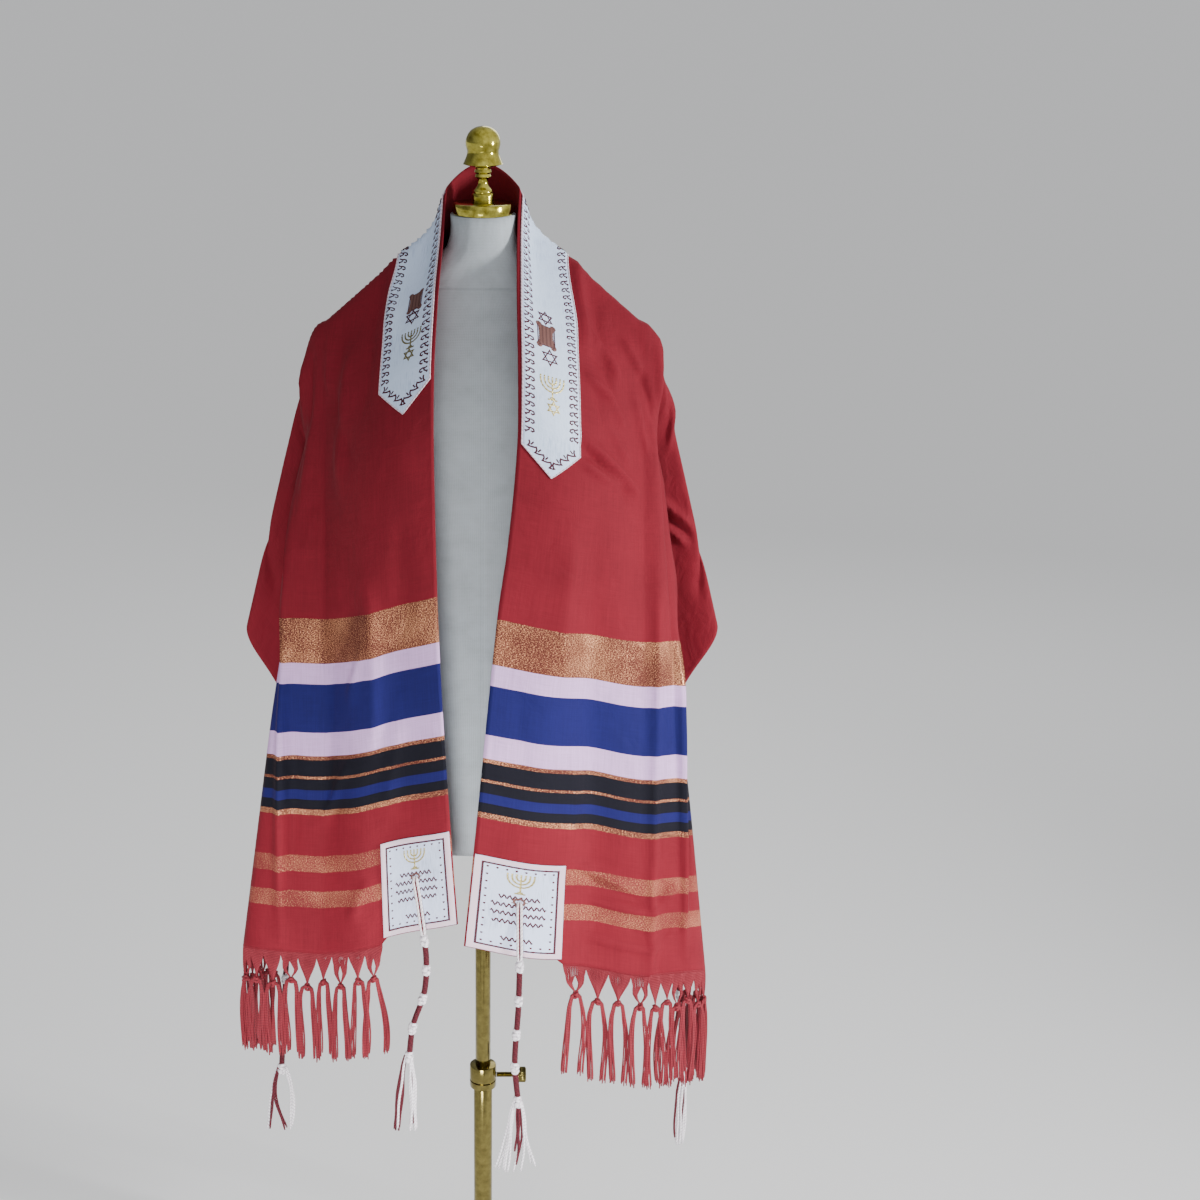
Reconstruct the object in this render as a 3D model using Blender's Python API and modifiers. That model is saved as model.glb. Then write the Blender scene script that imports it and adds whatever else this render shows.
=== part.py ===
"""A striped prayer shawl on a limbless linen dress form with a brass stand.

Metres, +Z up.  +X is the viewer's right and the front faces -Y.  The origin is the
centre of the foot's underside, on the floor.

The shawl is one rectangle of cloth.  A place on it is (side, u, v): u runs along the
sheet from the middle of its upper edge at the nape, v runs across it from the upper
edge down.  sheet_point() hangs the rectangle: each half goes over a sloping ridge from
the neck to the shoulder tip.  Behind the ridge v hangs down, in front of it u hangs
down, and beyond the shoulder tip the cloth fans out like a cone, with one deep fold.
"""
import math

import bmesh
import bpy
from mathutils import Vector

# ---- the sheet, as cut --------------------------------------------------------
SHEET_LENGTH = 1.90
SHEET_WIDTH = 0.52
SHEET_PULL = 0.013            # the sheet lies this much further to the right
CLOTH_WALL = 0.0014
SEAM_GAP = 0.0003
LAID_GAP = 0.0005             # between the cloth and what is laid on it
HEM_STRIP = 0.007             # the fringe's own strip, parted from the sheet's ends

# ---- how it hangs -------------------------------------------------------------
COLLAR_RADIUS = 0.041
COLLAR_BACK = 0.046
NECK_U = 0.060                # u where the upper edge reaches the side of the neck
TIP_U = 0.185                 # the shoulder tip's place on the sheet
TIP_V = 0.165
NAPE_HEIGHT = 1.452
NECK_HEIGHT = 1.429
TIP_OUT = 0.178
TIP_HEIGHT = 1.279
DOME = 0.014                  # how far the cloth runs on level before it falls
FAN_START = 0.030             # the fold grows over this stretch below the tip
FAN_FULL = 0.200
NECK_OUT = COLLAR_RADIUS * math.sin(NECK_U / COLLAR_RADIUS)
NECK_BACK = COLLAR_BACK * math.cos(NECK_U / COLLAR_RADIUS)

# The ridge over each shoulder: share of the way, then place.
RIDGE = [
    # share    out      back     height
    (0.00, NECK_OUT, NECK_BACK, NECK_HEIGHT),
    (0.15, 0.0560, 0.010, 1.3880),
    (0.40, 0.0920, 0.006, 1.3555),
    (0.70, 0.1350, 0.002, 1.3170),
    (1.00, TIP_OUT, 0.000, TIP_HEIGHT),
]

# The upper edge in front, from the side of the neck down to the end of the sheet.
EDGE_LEFT = [
    # along    out      back     height
    (0.000, NECK_OUT, NECK_BACK, NECK_HEIGHT),
    (0.060, 0.0440, -0.022, 1.379),
    (0.140, 0.0490, -0.076, 1.321),
    (0.230, 0.0530, -0.118, 1.242),
    (0.350, 0.0530, -0.132, 1.123),
    (0.550, 0.0480, -0.139, 0.924),
    (0.750, 0.0370, -0.146, 0.725),
    (0.880, 0.0280, -0.150, 0.596),
]
EDGE_RIGHT = [
    # along    out      back     height
    (0.000, NECK_OUT, NECK_BACK, NECK_HEIGHT),
    (0.060, 0.0380, -0.022, 1.379),
    (0.140, 0.0370, -0.076, 1.321),
    (0.230, 0.0380, -0.118, 1.242),
    (0.310, 0.0370, -0.130, 1.163),
    (0.420, 0.0270, -0.136, 1.054),
    (0.500, 0.0160, -0.141, 0.975),
    (0.730, -0.0060, -0.150, 0.746),
    (0.905, -0.0230, -0.155, 0.572),
]

# The fan below each shoulder tip.  turn is the angle in the cloth, from straight across
# the sheet (0, at the back) to straight along it (90, in front); out and back are the
# leans of that line of the cloth, in metres for each metre it falls.
FAN_LEFT = [
    # turn   out     back
    (0.0, 0.080, 0.190),
    (14.0, 0.192, 0.142),
    (27.0, 0.245, 0.050),
    (40.0, 0.130, 0.075),
    (54.0, -0.020, 0.105),
    (66.0, 0.055, 0.060),
    (75.0, 0.115, -0.015),
    (82.0, 0.134, -0.096),
    (90.0, 0.015, -0.130),
]
FAN_RIGHT = [
    # turn   out     back
    (0.0, 0.080, 0.190),
    (14.0, 0.190, 0.142),
    (27.0, 0.240, 0.054),
    (40.0, 0.120, 0.080),
    (54.0, -0.030, 0.105),
    (66.0, 0.040, 0.060),
    (74.0, 0.085, -0.010),
    (81.0, 0.104, -0.092),
    (90.0, 0.015, -0.135),
]
SOFT_FAN = [
    # turn   out     back
    (0.0, 0.080, 0.190),
    (45.0, 0.270, 0.020),
    (90.0, 0.015, -0.130),
]

# The back, hanging from the collar.
BACK_DEPTH = 0.112            # how far behind the axis the back hangs
BACK_RUN = 0.230              # length over which it leans out to that depth
BACK_LOSS = 0.018             # height that the lean saves
BACK_SPREAD = 0.020           # how much wider the nape's stretch becomes below
BACK_BELLY = 0.008

# Soft flutes: place across the half sheet, width and depth at the free edge.
BACK_FLUTES = [
    # u       width    depth
    (0.045, 0.040, 0.012),
    (0.120, 0.036, -0.012),
]
FRONT_FLUTES = {
    "left": [
        # v       width    depth
        (0.050, 0.045, 0.008),
        (0.125, 0.035, -0.006),
    ],
    "right": [
        # v       width    depth
        (0.040, 0.045, -0.006),
        (0.110, 0.040, 0.010),
    ],
}
FRONT_BELLY = 0.022           # how far the chest pushes the cloth out between edge and tip
BELLY_START = 0.10
BELLY_END = (0.25, 0.65)
BELLY_LEFT = 0.25             # share of the belly that is left at the hem
FLUTE_START = 0.20            # flutes fade in over this length below the ridge
FLUTE_RUN = 0.45

SIDES = {
    "left": {"sign": -1.0, "half": SHEET_LENGTH / 2 - SHEET_PULL, "edge": EDGE_LEFT, "fan": FAN_LEFT},
    "right": {"sign": 1.0, "half": SHEET_LENGTH / 2 + SHEET_PULL, "edge": EDGE_RIGHT, "fan": FAN_RIGHT},
}

# ---- what is sewn on -------------------------------------------------------------
BAND_REACH = {"left": 0.322, "right": 0.392}      # u of each pointed end
BAND_WIDTH = 0.064
BAND_INSET = 0.004
BAND_POINT = 0.030
BAND_WALL = 0.0012
PATCH_WIDE = 0.082            # along the sheet's v; the fronts hang drawn out to 1.2 of it
PATCH_TALL = 0.114
PATCH_INSET = 0.0015
PATCH_WALL = 0.0010

FRINGE_FROM = 0.086           # the corners under the patches have no fringe
FRINGE_BUNDLES = 16
FRINGE_DROP = 0.042           # from the strip down to the knots
FRINGE_LENGTH = 0.145
LOCK_GATHER = 0.30            # of the pitch, from a bundle's middle to each lock's root
LOCK_PLACES = [
    # share of the fall, sideways, across the cloth, radius; both start at the knot
    (0.00, 0.0030, 0.0000, 0.0025),
    (0.14, 0.0062, 0.0002, 0.0017),
    (0.50, 0.0078, 0.0015, 0.0018),
    (1.00, 0.0072, -0.0010, 0.0023),
]
LOCK_ROOT = 0.0018            # radius

# Each corner tassel hangs from an eyelet in its patch: a wound cord with five knots,
# then loose strands.
EYELET_UP = 0.066             # above the patch's lower edge
TASSEL_LIFT = 0.0029          # cord's middle off the patch
TASSEL_CORD = 0.0034
TASSEL_KNOT = 0.0058
TASSEL_LOOP = 0.076           # bare loop over the patch, above the first knot
TASSEL_FORWARD = 0.009        # how far the hem's edge pushes the cord out
TASSEL_KNOTS = 5
TASSEL_STRANDS = 8
TASSELS = {
    # name          side      edge     first knot to last, strands
    "front_left": ("left", "upper", 0.149, 0.101),
    "front_right": ("right", "upper", 0.174, 0.097),
    "back_left": ("left", "lower", 0.170, 0.091),
    "back_right": ("right", "lower", 0.154, 0.102),
}
TASSEL_SWAY = {
    # name: share of the cord's length, how far it has swung to +X and to +Y
    "front_left": [
        (0.00, 0.000, 0.000),
        (0.28, 0.012, 0.000),
        (0.45, 0.016, 0.001),
        (0.64, 0.013, 0.002),
        (0.82, 0.000, 0.001),
        (1.00, -0.005, 0.000),
    ],
    "front_right": [(0.00, 0.000, 0.000), (0.50, -0.002, 0.001), (0.80, -0.006, 0.002), (1.00, -0.002, 0.001)],
    "back_left": [(0.00, 0.000, 0.000), (0.30, -0.011, 0.001), (1.00, -0.023, 0.002)],
    "back_right": [(0.00, 0.000, 0.000), (0.30, 0.014, 0.001), (1.00, 0.027, 0.002)],
}

# ---- the grid of the solid ------------------------------------------------------
# Its lines run under the edges of the band, which so lies on the very same facets.
CLOTH_U_STEPS = {
    name: [
        # up to                          steps
        (TIP_U, 9),
        (BAND_REACH[name] - BAND_POINT, 4),
        (BAND_REACH[name], 1),
        (side["half"] - HEM_STRIP - SEAM_GAP, 12),
    ]
    for name, side in SIDES.items()
}
CLOTH_V_STEPS = [
    # up to                         steps
    (BAND_INSET, 1),
    (BAND_INSET + BAND_WIDTH / 2, 2),
    (BAND_INSET + BAND_WIDTH, 2),
    (FRINGE_FROM, 1),
    (TIP_V, 2),
    (SHEET_WIDTH - FRINGE_FROM, 9),
    (SHEET_WIDTH, 3),
]

# ---- the dress form and its stand --------------------------------------------------
FORM_BOTTOM = 0.660
NECK_TOP = 1.400
FORM_RINGS = [
    # height   half width  half depth  middle back
    (NECK_TOP, 0.0365, 0.0365, 0.004),
    (1.380, 0.0365, 0.0370, 0.005),
    (1.360, 0.0430, 0.0380, 0.006),
    (1.345, 0.0622, 0.0393, 0.0055),
    (1.328, 0.0842, 0.0412, 0.0045),
    (1.310, 0.1060, 0.0440, 0.003),
    (1.290, 0.1260, 0.0500, 0.001),
    (1.270, 0.1400, 0.0580, -0.002),
    (1.245, 0.1470, 0.0690, -0.006),
    (1.210, 0.1500, 0.0810, -0.007),
    (1.160, 0.1480, 0.0900, -0.005),
    (1.080, 0.1400, 0.0900, 0.000),
    (0.990, 0.1290, 0.0850, 0.004),
    (0.900, 0.1370, 0.0920, 0.008),
    (0.800, 0.1520, 0.1010, 0.010),
    (0.720, 0.1560, 0.1030, 0.010),
    (0.675, 0.1520, 0.1000, 0.010),
    (FORM_BOTTOM, 0.1420, 0.0920, 0.010),
]
FORM_SIDES = 28
FORM_SQUARE = 2.3             # 2 is an ellipse, more is squarer

CAP_RADIUS = 0.0335
CAP_THICK = 0.013
FINIAL_PROFILE = [
    # radius   height above the cap
    (0.0, 0.0840),
    (0.0080, 0.0825),
    (0.0142, 0.0785),
    (0.0182, 0.0720),
    (0.0195, 0.0650),
    (0.0184, 0.0595),
    (0.0176, 0.0560),
    (0.0186, 0.0510),
    (0.0215, 0.0435),
    (0.0212, 0.0420),
    (0.0095, 0.0385),
    (0.0095, 0.0335),
    (0.0080, 0.0315),
    (0.0090, 0.0285),
    (0.0062, 0.0260),
    (0.0062, 0.0190),
    (0.0107, 0.0130),
    (0.0107, 0.0105),
    (0.0126, 0.0090),
    (0.0126, 0.0),
    (0.0, 0.0),
]
POLE_RADIUS = 0.0095
SLEEVE_RADIUS = 0.0115
SLEEVE_TOP = 0.310
SOCKET_RADIUS = 0.030
SOCKET_DEPTH = 0.014
CLAMP_RADIUS = 0.0165
CLAMP_HEIGHT = 0.030
SCREW_RADIUS = 0.0035
SCREW_LENGTH = 0.026
KNOB_RADIUS = 0.0095
KNOB_LENGTH = 0.011
FOOT_PROFILE = [
    # radius   height
    (0.0, 0.0340),
    (0.0160, 0.0340),
    (0.0180, 0.0310),
    (0.0200, 0.0160),
    (0.0600, 0.0130),
    (0.1260, 0.0095),
    (0.1385, 0.0070),
    (0.1400, 0.0030),
    (0.1385, 0.0),
    (0.0, 0.0),
]
TURNED_STEPS = 16
ROUND_STEPS = 16
MERGE = 0.00005

# ---- materials: colour, roughness, metallic ------------------------------------------
FINISHES = {
    "red_cloth": ((0.42, 0.030, 0.045, 1.0), 0.62, 0.0),
    "white_satin": ((0.72, 0.73, 0.78, 1.0), 0.45, 0.0),
    "tassel_thread": ((0.62, 0.58, 0.60, 1.0), 0.70, 0.0),
    "linen": ((0.46, 0.47, 0.47, 1.0), 0.85, 0.0),
    "brass": ((0.72, 0.58, 0.20, 1.0), 0.16, 1.0),
}


def smooth(share):
    share = min(max(share, 0.0), 1.0)
    return share * share * (3.0 - 2.0 * share)


def mix(a, b, share):
    return a + (b - a) * share


def read_table(rows, place):
    """The values of a table at a place in its first column, smooth between its rows."""
    place = min(max(place, rows[0][0]), rows[-1][0])
    index = 0
    while index < len(rows) - 2 and place > rows[index + 1][0]:
        index += 1
    low, high = rows[index], rows[index + 1]
    before = rows[index - 1] if index > 0 else low
    after = rows[index + 2] if index + 2 < len(rows) else high
    step = high[0] - low[0]
    share = (place - low[0]) / step
    values = []
    for column in range(1, len(low)):
        slope_low = (high[column] - before[column]) / (high[0] - before[0]) * step
        slope_high = (after[column] - low[column]) / (after[0] - low[0]) * step
        square, cube = share * share, share ** 3
        values.append(
            (2 * cube - 3 * square + 1) * low[column]
            + (cube - 2 * square + share) * slope_low
            + (3 * square - 2 * cube) * high[column]
            + (cube - square) * slope_high
        )
    return Vector(values)


def collar_edge(u):
    """The upper edge round the nape, for u up to NECK_U."""
    turn = u / COLLAR_RADIUS
    height = mix(NAPE_HEIGHT, NECK_HEIGHT, smooth(u / NECK_U))
    return Vector((COLLAR_RADIUS * math.sin(turn), COLLAR_BACK * math.cos(turn), height))


def fan_point(side, length, turn):
    """A point of the fan: length along a straight line of the cloth from the tip."""
    soft = read_table(SOFT_FAN, turn)
    folded = read_table(side["fan"], turn)
    lean = soft.lerp(folded, smooth((length - FAN_START) / (FAN_FULL - FAN_START)))
    level = DOME * (1.0 - math.exp(-length / DOME))
    heading = math.radians(2.0 * (90.0 - turn))
    fall = Vector((lean[0], lean[1], -1.0)).normalized() * (length - level)
    tip = Vector((TIP_OUT, 0.0, TIP_HEIGHT))
    return tip + Vector((math.sin(heading), -math.cos(heading), 0.0)) * level + fall


def ridge_bend(share):
    """How far the ridge stands off the straight line between its two ends."""
    straight = Vector(RIDGE[0][1:]).lerp(Vector(RIDGE[-1][1:]), share)
    return read_table(RIDGE, share) - straight


def flutes(rows, place, fall):
    """How deep the soft flutes are at a place across the cloth."""
    depth = sum(size * math.exp(-((place - middle) / width) ** 2) for middle, width, size in rows)
    return depth * smooth((fall - FLUTE_START) / FLUTE_RUN)


def belly(share, fall):
    """The cloth's crown over the chest, across the front from the edge to the tip's line."""
    first, last = BELLY_END
    kept = 1.0 - (1.0 - BELLY_LEFT) * smooth((fall - first) / (last - first))
    size = FRONT_BELLY * smooth(fall / BELLY_START) * kept * math.sin(math.pi * share)
    return Vector((0.4 * size, -0.9 * size, 0.0))


def front_point(name, u, v):
    side = SIDES[name]
    share = v / TIP_V
    fall = u - mix(NECK_U, TIP_U, share)
    inner = read_table(side["edge"], fall)
    outer = fan_point(side, fall, 90.0)
    bend = ridge_bend(share) * (1.0 - smooth(fall / FLUTE_START))
    point = inner.lerp(outer, share) + bend + belly(share, fall)
    point.y += flutes(FRONT_FLUTES[name], v, fall) * math.sin(math.pi * share)
    return point


def nape_fall(start, fall, out):
    """A line of the back, hanging from its start on the collar."""
    lean = smooth(fall / BACK_RUN)
    return Vector((
        mix(start.x, out, lean),
        mix(start.y, BACK_DEPTH, lean),
        start.z - fall + BACK_LOSS * lean,
    ))


def back_point(name, u, v):
    if u <= NECK_U:
        fall = v
        point = nape_fall(collar_edge(u), fall, u * (1.0 + BACK_SPREAD / NECK_U))
    else:
        share = (u - NECK_U) / (TIP_U - NECK_U)
        fall = v - share * TIP_V
        near = nape_fall(collar_edge(NECK_U), fall, NECK_U + BACK_SPREAD)
        far = fan_point(SIDES[name], fall, 0.0)
        bend = ridge_bend(share) * (1.0 - smooth(fall / FLUTE_START))
        point = near.lerp(far, share) + bend
        point.y += BACK_BELLY * smooth(fall / BELLY_START) * math.sin(math.pi * share)
    point.y += flutes(BACK_FLUTES, u, fall)
    return point


def sheet_point(name, u, v):
    """Where the place (u, v) of one half of the sheet hangs."""
    side = SIDES[name]
    if u > TIP_U and v > TIP_V:
        length = math.hypot(u - TIP_U, v - TIP_V)
        point = fan_point(side, length, math.degrees(math.atan2(u - TIP_U, v - TIP_V)))
    elif u > mix(NECK_U, TIP_U, v / TIP_V) and v <= TIP_V:
        point = front_point(name, u, v)
    else:
        point = back_point(name, u, v)
    return Vector((point.x * side["sign"], point.y, point.z))


def sheet_normal(name, u, v):
    """The way the sheet's outer face looks there."""
    step = 0.004
    half = SIDES[name]["half"]
    low_u, high_u = max(u - step, 0.0), min(u + step, half)
    low_v, high_v = max(v - step, 0.0), min(v + step, SHEET_WIDTH)
    along = sheet_point(name, high_u, v) - sheet_point(name, low_u, v)
    across = sheet_point(name, u, high_v) - sheet_point(name, u, low_v)
    return along.cross(across).normalized() * SIDES[name]["sign"]


def steps_to(rows):
    """Stations from 0 on, as many in each stretch as its row says."""
    stations, start = [0.0], 0.0
    for stop, count in rows:
        stations += [mix(start, stop, (index + 1) / count) for index in range(count)]
        start = stop
    return stations


CLOTH_ROWS = {name: steps_to(rows) for name, rows in CLOTH_U_STEPS.items()}
CLOTH_LINES = steps_to(CLOTH_V_STEPS)


def span_of(stations, place):
    """The two stations round a place, and the place's share of the way between them."""
    index = 0
    while index < len(stations) - 2 and place > stations[index + 1]:
        index += 1
    low, high = stations[index], stations[index + 1]
    return low, high, (place - low) / (high - low)


def facet_point(name, u, v):
    """The same place on the solid's flat facets, for what lies on the cloth."""
    u_low, u_high, along = span_of(CLOTH_ROWS[name], u)
    v_low, v_high, across = span_of(CLOTH_LINES, v)
    near, far = sheet_point(name, u_low, v_low), sheet_point(name, u_high, v_high)
    if along >= across:
        side = sheet_point(name, u_high, v_low)
        return near + (side - near) * along + (far - side) * across
    side = sheet_point(name, u_low, v_high)
    return near + (side - near) * across + (far - side) * along


def facet_normal(name, u, v):
    """The way the solid's facet looks there."""
    step = 0.0005
    here = facet_point(name, u, v)
    along = facet_point(name, u + step, v) - here
    across = facet_point(name, u, v + step) - here
    return along.cross(across).normalized() * SIDES[name]["sign"]


def with_ends(stations, low, high):
    """The cloth's own stations between two places, and the places themselves."""
    near = 0.15 * (stations[1] - stations[0])
    return [low] + [place for place in stations if low + near < place < high - near] + [high]


# ---- building helpers -------------------------------------------------------------------


def clear_scene():
    for thing in list(bpy.data.objects):
        bpy.data.objects.remove(thing)


def finish_named(name):
    """The material of that name, made once."""
    if name in bpy.data.materials:
        return bpy.data.materials[name]
    colour, roughness, metallic = FINISHES[name]
    material = bpy.data.materials.new(name)
    material.use_nodes = True
    shader = material.node_tree.nodes["Principled BSDF"]
    shader.inputs["Base Color"].default_value = colour
    shader.inputs["Roughness"].default_value = roughness
    shader.inputs["Metallic"].default_value = metallic
    return material


def weld(mesh, distance):
    """Joins points that coincide, such as those where a row of a grid ends in a point."""
    bm = bmesh.new()
    bm.from_mesh(mesh)
    bmesh.ops.remove_doubles(bm, verts=bm.verts, dist=distance)
    bm.to_mesh(mesh)
    bm.free()


def add_object(name, data, finish):
    thing = bpy.data.objects.new(name, data)
    bpy.data.collections["shawl_on_form"].objects.link(thing)
    data.materials.append(finish_named(finish))
    return thing


def mesh_from(name, points, faces, finish):
    mesh = bpy.data.meshes.new(name)
    mesh.from_pydata([tuple(point) for point in points], [], faces)
    thing = add_object(name, mesh, finish)
    mesh.shade_smooth()
    return thing


def grid_faces(rows, columns, closed=False):
    """Quads over a grid of points held row by row; closed joins the last column to the first."""
    faces = []
    for row in range(rows - 1):
        for column in range(columns if closed else columns - 1):
            after = (column + 1) % columns
            faces.append((
                row * columns + column,
                row * columns + after,
                (row + 1) * columns + after,
                (row + 1) * columns + column,
            ))
    return faces


def facets(rows):
    """Two triangles for each quad of a grid of (side, u, v), cut along the ridges' run."""
    faces = []
    across = len(rows[0])
    for row in range(len(rows) - 1):
        is_right = rows[row + 1][0][0] == "right"
        for column in range(across - 1):
            first = row * across + column
            second, third, fourth = first + 1, first + across + 1, first + across
            if is_right:
                faces += [(first, third, second), (first, fourth, third)]
            else:
                faces += [(first, fourth, second), (second, fourth, third)]
    return faces


def give_wall(thing, wall, lift=0.0):
    """A wall whose middle lies out from the surface by lift."""
    solidify = thing.modifiers.new("Wall", "SOLIDIFY")
    solidify.thickness = wall
    solidify.offset = 2.0 * lift / wall


def sheet_piece(name, rows, lift, wall, finish):
    """A wall over rows of places (side, u, v) on the cloth's facets, moved out by lift."""
    points = [facet_point(*place) for row in rows for place in row]
    piece = mesh_from(name, points, facets(rows), finish)
    weld(piece.data, MERGE)
    give_wall(piece, wall, lift)
    return piece


def across_both(stations_of_side):
    """(side, u) from the far end of the left half, round the nape, to the right end."""
    left = [("left", u) for u in reversed(stations_of_side["left"])]
    return left + [("right", u) for u in stations_of_side["right"][1:]]


def turned(name, profile, finish, base=0.0):
    """A turned solid from a profile that runs down its outer side."""
    mesh = bpy.data.meshes.new(name)
    points = [(radius, 0.0, base + height) for radius, height in profile]
    mesh.from_pydata(points, [(index, index + 1) for index in range(len(points) - 1)], [])
    thing = add_object(name, mesh, finish)
    screw = thing.modifiers.new("Turn", "SCREW")
    screw.steps = TURNED_STEPS
    screw.render_steps = TURNED_STEPS
    screw.use_merge_vertices = True
    screw.merge_threshold = MERGE
    screw.use_smooth_shade = True
    return thing


def cylinder(name, radius, length, middle, finish, sides=ROUND_STEPS):
    bpy.ops.mesh.primitive_cylinder_add(vertices=sides, radius=radius, depth=length, location=middle)
    thing = bpy.context.object
    thing.name = name
    for home in list(thing.users_collection):
        home.objects.unlink(thing)
    bpy.data.collections["shawl_on_form"].objects.link(thing)
    thing.data.materials.append(finish_named(finish))
    return thing


def strands(name, paths, finish):
    """One mesh of round threads: each path is a list of (point, radius)."""
    curve = bpy.data.curves.new(name, "CURVE")
    curve.dimensions = "3D"
    curve.bevel_depth = 1.0
    curve.bevel_resolution = 0
    curve.use_fill_caps = True
    for path in paths:
        spline = curve.splines.new("POLY")
        spline.points.add(len(path) - 1)
        for place, (point, radius) in zip(spline.points, path):
            place.co = (*point, 1.0)
            place.radius = radius
    thing = bpy.data.objects.new(name + "_curve", curve)
    bpy.context.scene.collection.objects.link(thing)
    shape = bpy.data.meshes.new_from_object(thing.evaluated_get(bpy.context.evaluated_depsgraph_get()))
    bpy.data.objects.remove(thing)
    weld(shape, MERGE / 10)
    shape.materials.clear()
    shape.materials.append(finish_named(finish))
    return shape


def fused(name, body, shape, finish):
    """The body and the threads in shape, joined by a Boolean union."""
    tool = bpy.data.objects.new(name + "_threads", shape)
    tool.hide_render = True
    tool.display_type = "WIRE"
    bpy.data.collections["cutters"].objects.link(tool)
    union = body.modifiers.new("Threads", "BOOLEAN")
    union.operation = "UNION"
    union.object = tool
    union.use_self = True
    return body


# ---- the shawl ------------------------------------------------------------------------------


def make_cloth():
    rows = [[(name, u, v) for v in CLOTH_LINES] for name, u in across_both(CLOTH_ROWS)]
    sheet_piece("shawl_cloth", rows, 0.0, CLOTH_WALL, "red_cloth")


def make_neckband():
    """The band along the upper edge, with a point at each end."""
    shoulder = {name: reach - BAND_POINT for name, reach in BAND_REACH.items()}
    stations = {name: with_ends(CLOTH_ROWS[name], 0.0, shoulder[name]) for name in SIDES}
    lines = with_ends(CLOTH_LINES, BAND_INSET, BAND_INSET + BAND_WIDTH)
    middle = BAND_INSET + BAND_WIDTH / 2
    rows = [[(name, u, v) for v in lines] for name, u in across_both(stations)]
    tips = {
        name: [
            (name, shoulder[name] + BAND_POINT * (1.0 - abs(v - middle) / (BAND_WIDTH / 2)), v)
            for v in lines
        ]
        for name in SIDES
    }
    rows = [tips["left"]] + rows + [tips["right"]]
    lift = CLOTH_WALL / 2 + LAID_GAP + BAND_WALL / 2
    sheet_piece("neckband", rows, lift, BAND_WALL, "white_satin")


def patch_corner(name, edge):
    """The u and v ranges of a corner patch; edge is the sheet's upper or lower long edge."""
    end = CLOTH_ROWS[name][-1] - PATCH_INSET
    near = PATCH_INSET if edge == "upper" else SHEET_WIDTH - PATCH_INSET - PATCH_WIDE
    return (end - PATCH_TALL, end), (near, near + PATCH_WIDE)


def make_patch(title, name, edge):
    (u_low, u_high), (v_low, v_high) = patch_corner(name, edge)
    lines = with_ends(CLOTH_LINES, v_low, v_high)
    stations = with_ends(CLOTH_ROWS[name], u_low, u_high)
    if name == "left":
        stations.reverse()
    rows = [[(name, u, v) for v in lines] for u in stations]
    lift = CLOTH_WALL / 2 + LAID_GAP + PATCH_WALL / 2
    sheet_piece("patch_" + title, rows, lift, PATCH_WALL, "white_satin")


def fringe_lock(root, knot, along, outward, way, length, phase):
    """One lock: from the strip in to the knot, then out over it and down."""
    path = [(root, LOCK_ROOT)]
    for share, sideways, sway, radius in LOCK_PLACES:
        point = knot + along * (way * sideways * (1.0 + 0.1 * math.sin(phase)))
        point += outward * (sway * math.cos(1.7 * phase))
        point.z -= length * share
        path.append((point, radius))
    return path


def make_fringe(name):
    """Gathered bundles: two locks run in to each knot and hang apart below it."""
    half = SIDES[name]["half"]
    last = SHEET_WIDTH - FRINGE_FROM
    places = [v for v in CLOTH_LINES if FRINGE_FROM - MERGE < v < last + MERGE]
    rows = [[(name, u, v) for v in places] for u in (half - HEM_STRIP, half)]
    strip = sheet_piece("fringe_" + name, rows, 0.0, CLOTH_WALL, "red_cloth")
    paths = []
    pitch = (places[-1] - places[0]) / FRINGE_BUNDLES
    for bundle in range(FRINGE_BUNDLES):
        v = places[0] + pitch * (bundle + 0.5)
        phase = 2.1 * bundle + (0.0 if name == "left" else 0.8)
        outward = sheet_normal(name, half, v)
        along = (sheet_point(name, half, v + pitch / 4) - sheet_point(name, half, v - pitch / 4)).normalized()
        middle = facet_point(name, half - LOCK_ROOT, v)
        knot = middle + Vector((0.0, 0.0, -FRINGE_DROP + 0.004 * math.sin(1.3 * phase)))
        length = (FRINGE_LENGTH - FRINGE_DROP) * (1.0 + 0.06 * math.sin(2.9 * phase))
        for way in (-1.0, 1.0):
            root = facet_point(name, half - LOCK_ROOT, v + way * pitch * LOCK_GATHER)
            paths.append(fringe_lock(root, knot, along, outward, way, length, phase + way))
    fused("fringe_" + name, strip, strands("fringe_" + name, paths, "red_cloth"), "red_cloth")


def tassel_path(title):
    """The wound cord of a corner tassel, as (point, radius), down from its eyelet."""
    name, edge, wound, _ = TASSELS[title]
    (_, u_high), (v_low, v_high) = patch_corner(name, edge)
    place = (name, u_high - EYELET_UP, (v_low + v_high) / 2)
    outward = facet_normal(*place)
    start = facet_point(*place) + outward * (CLOTH_WALL / 2 + LAID_GAP + PATCH_WALL + TASSEL_LIFT)
    length = TASSEL_LOOP + wound
    knots = [TASSEL_LOOP + wound * index / (TASSEL_KNOTS - 1) for index in range(TASSEL_KNOTS)]
    stations = {0.0: TASSEL_CORD * 0.8, TASSEL_LOOP / 2: TASSEL_CORD * 0.8}
    for knot in knots:
        stations[knot - TASSEL_KNOT] = TASSEL_CORD
        stations[knot - TASSEL_KNOT * 0.4] = TASSEL_KNOT
        stations[knot + TASSEL_KNOT * 0.4] = TASSEL_KNOT
        stations[knot + TASSEL_KNOT] = TASSEL_CORD
    path = []
    for fall in sorted(stations):
        point = start + outward * (TASSEL_FORWARD * smooth(fall / TASSEL_LOOP))
        swing = read_table(TASSEL_SWAY[title], fall / length)
        point += Vector((swing[0], swing[1], 0.0))
        point.z -= fall
        path.append((point, stations[fall]))
    return path


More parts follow.
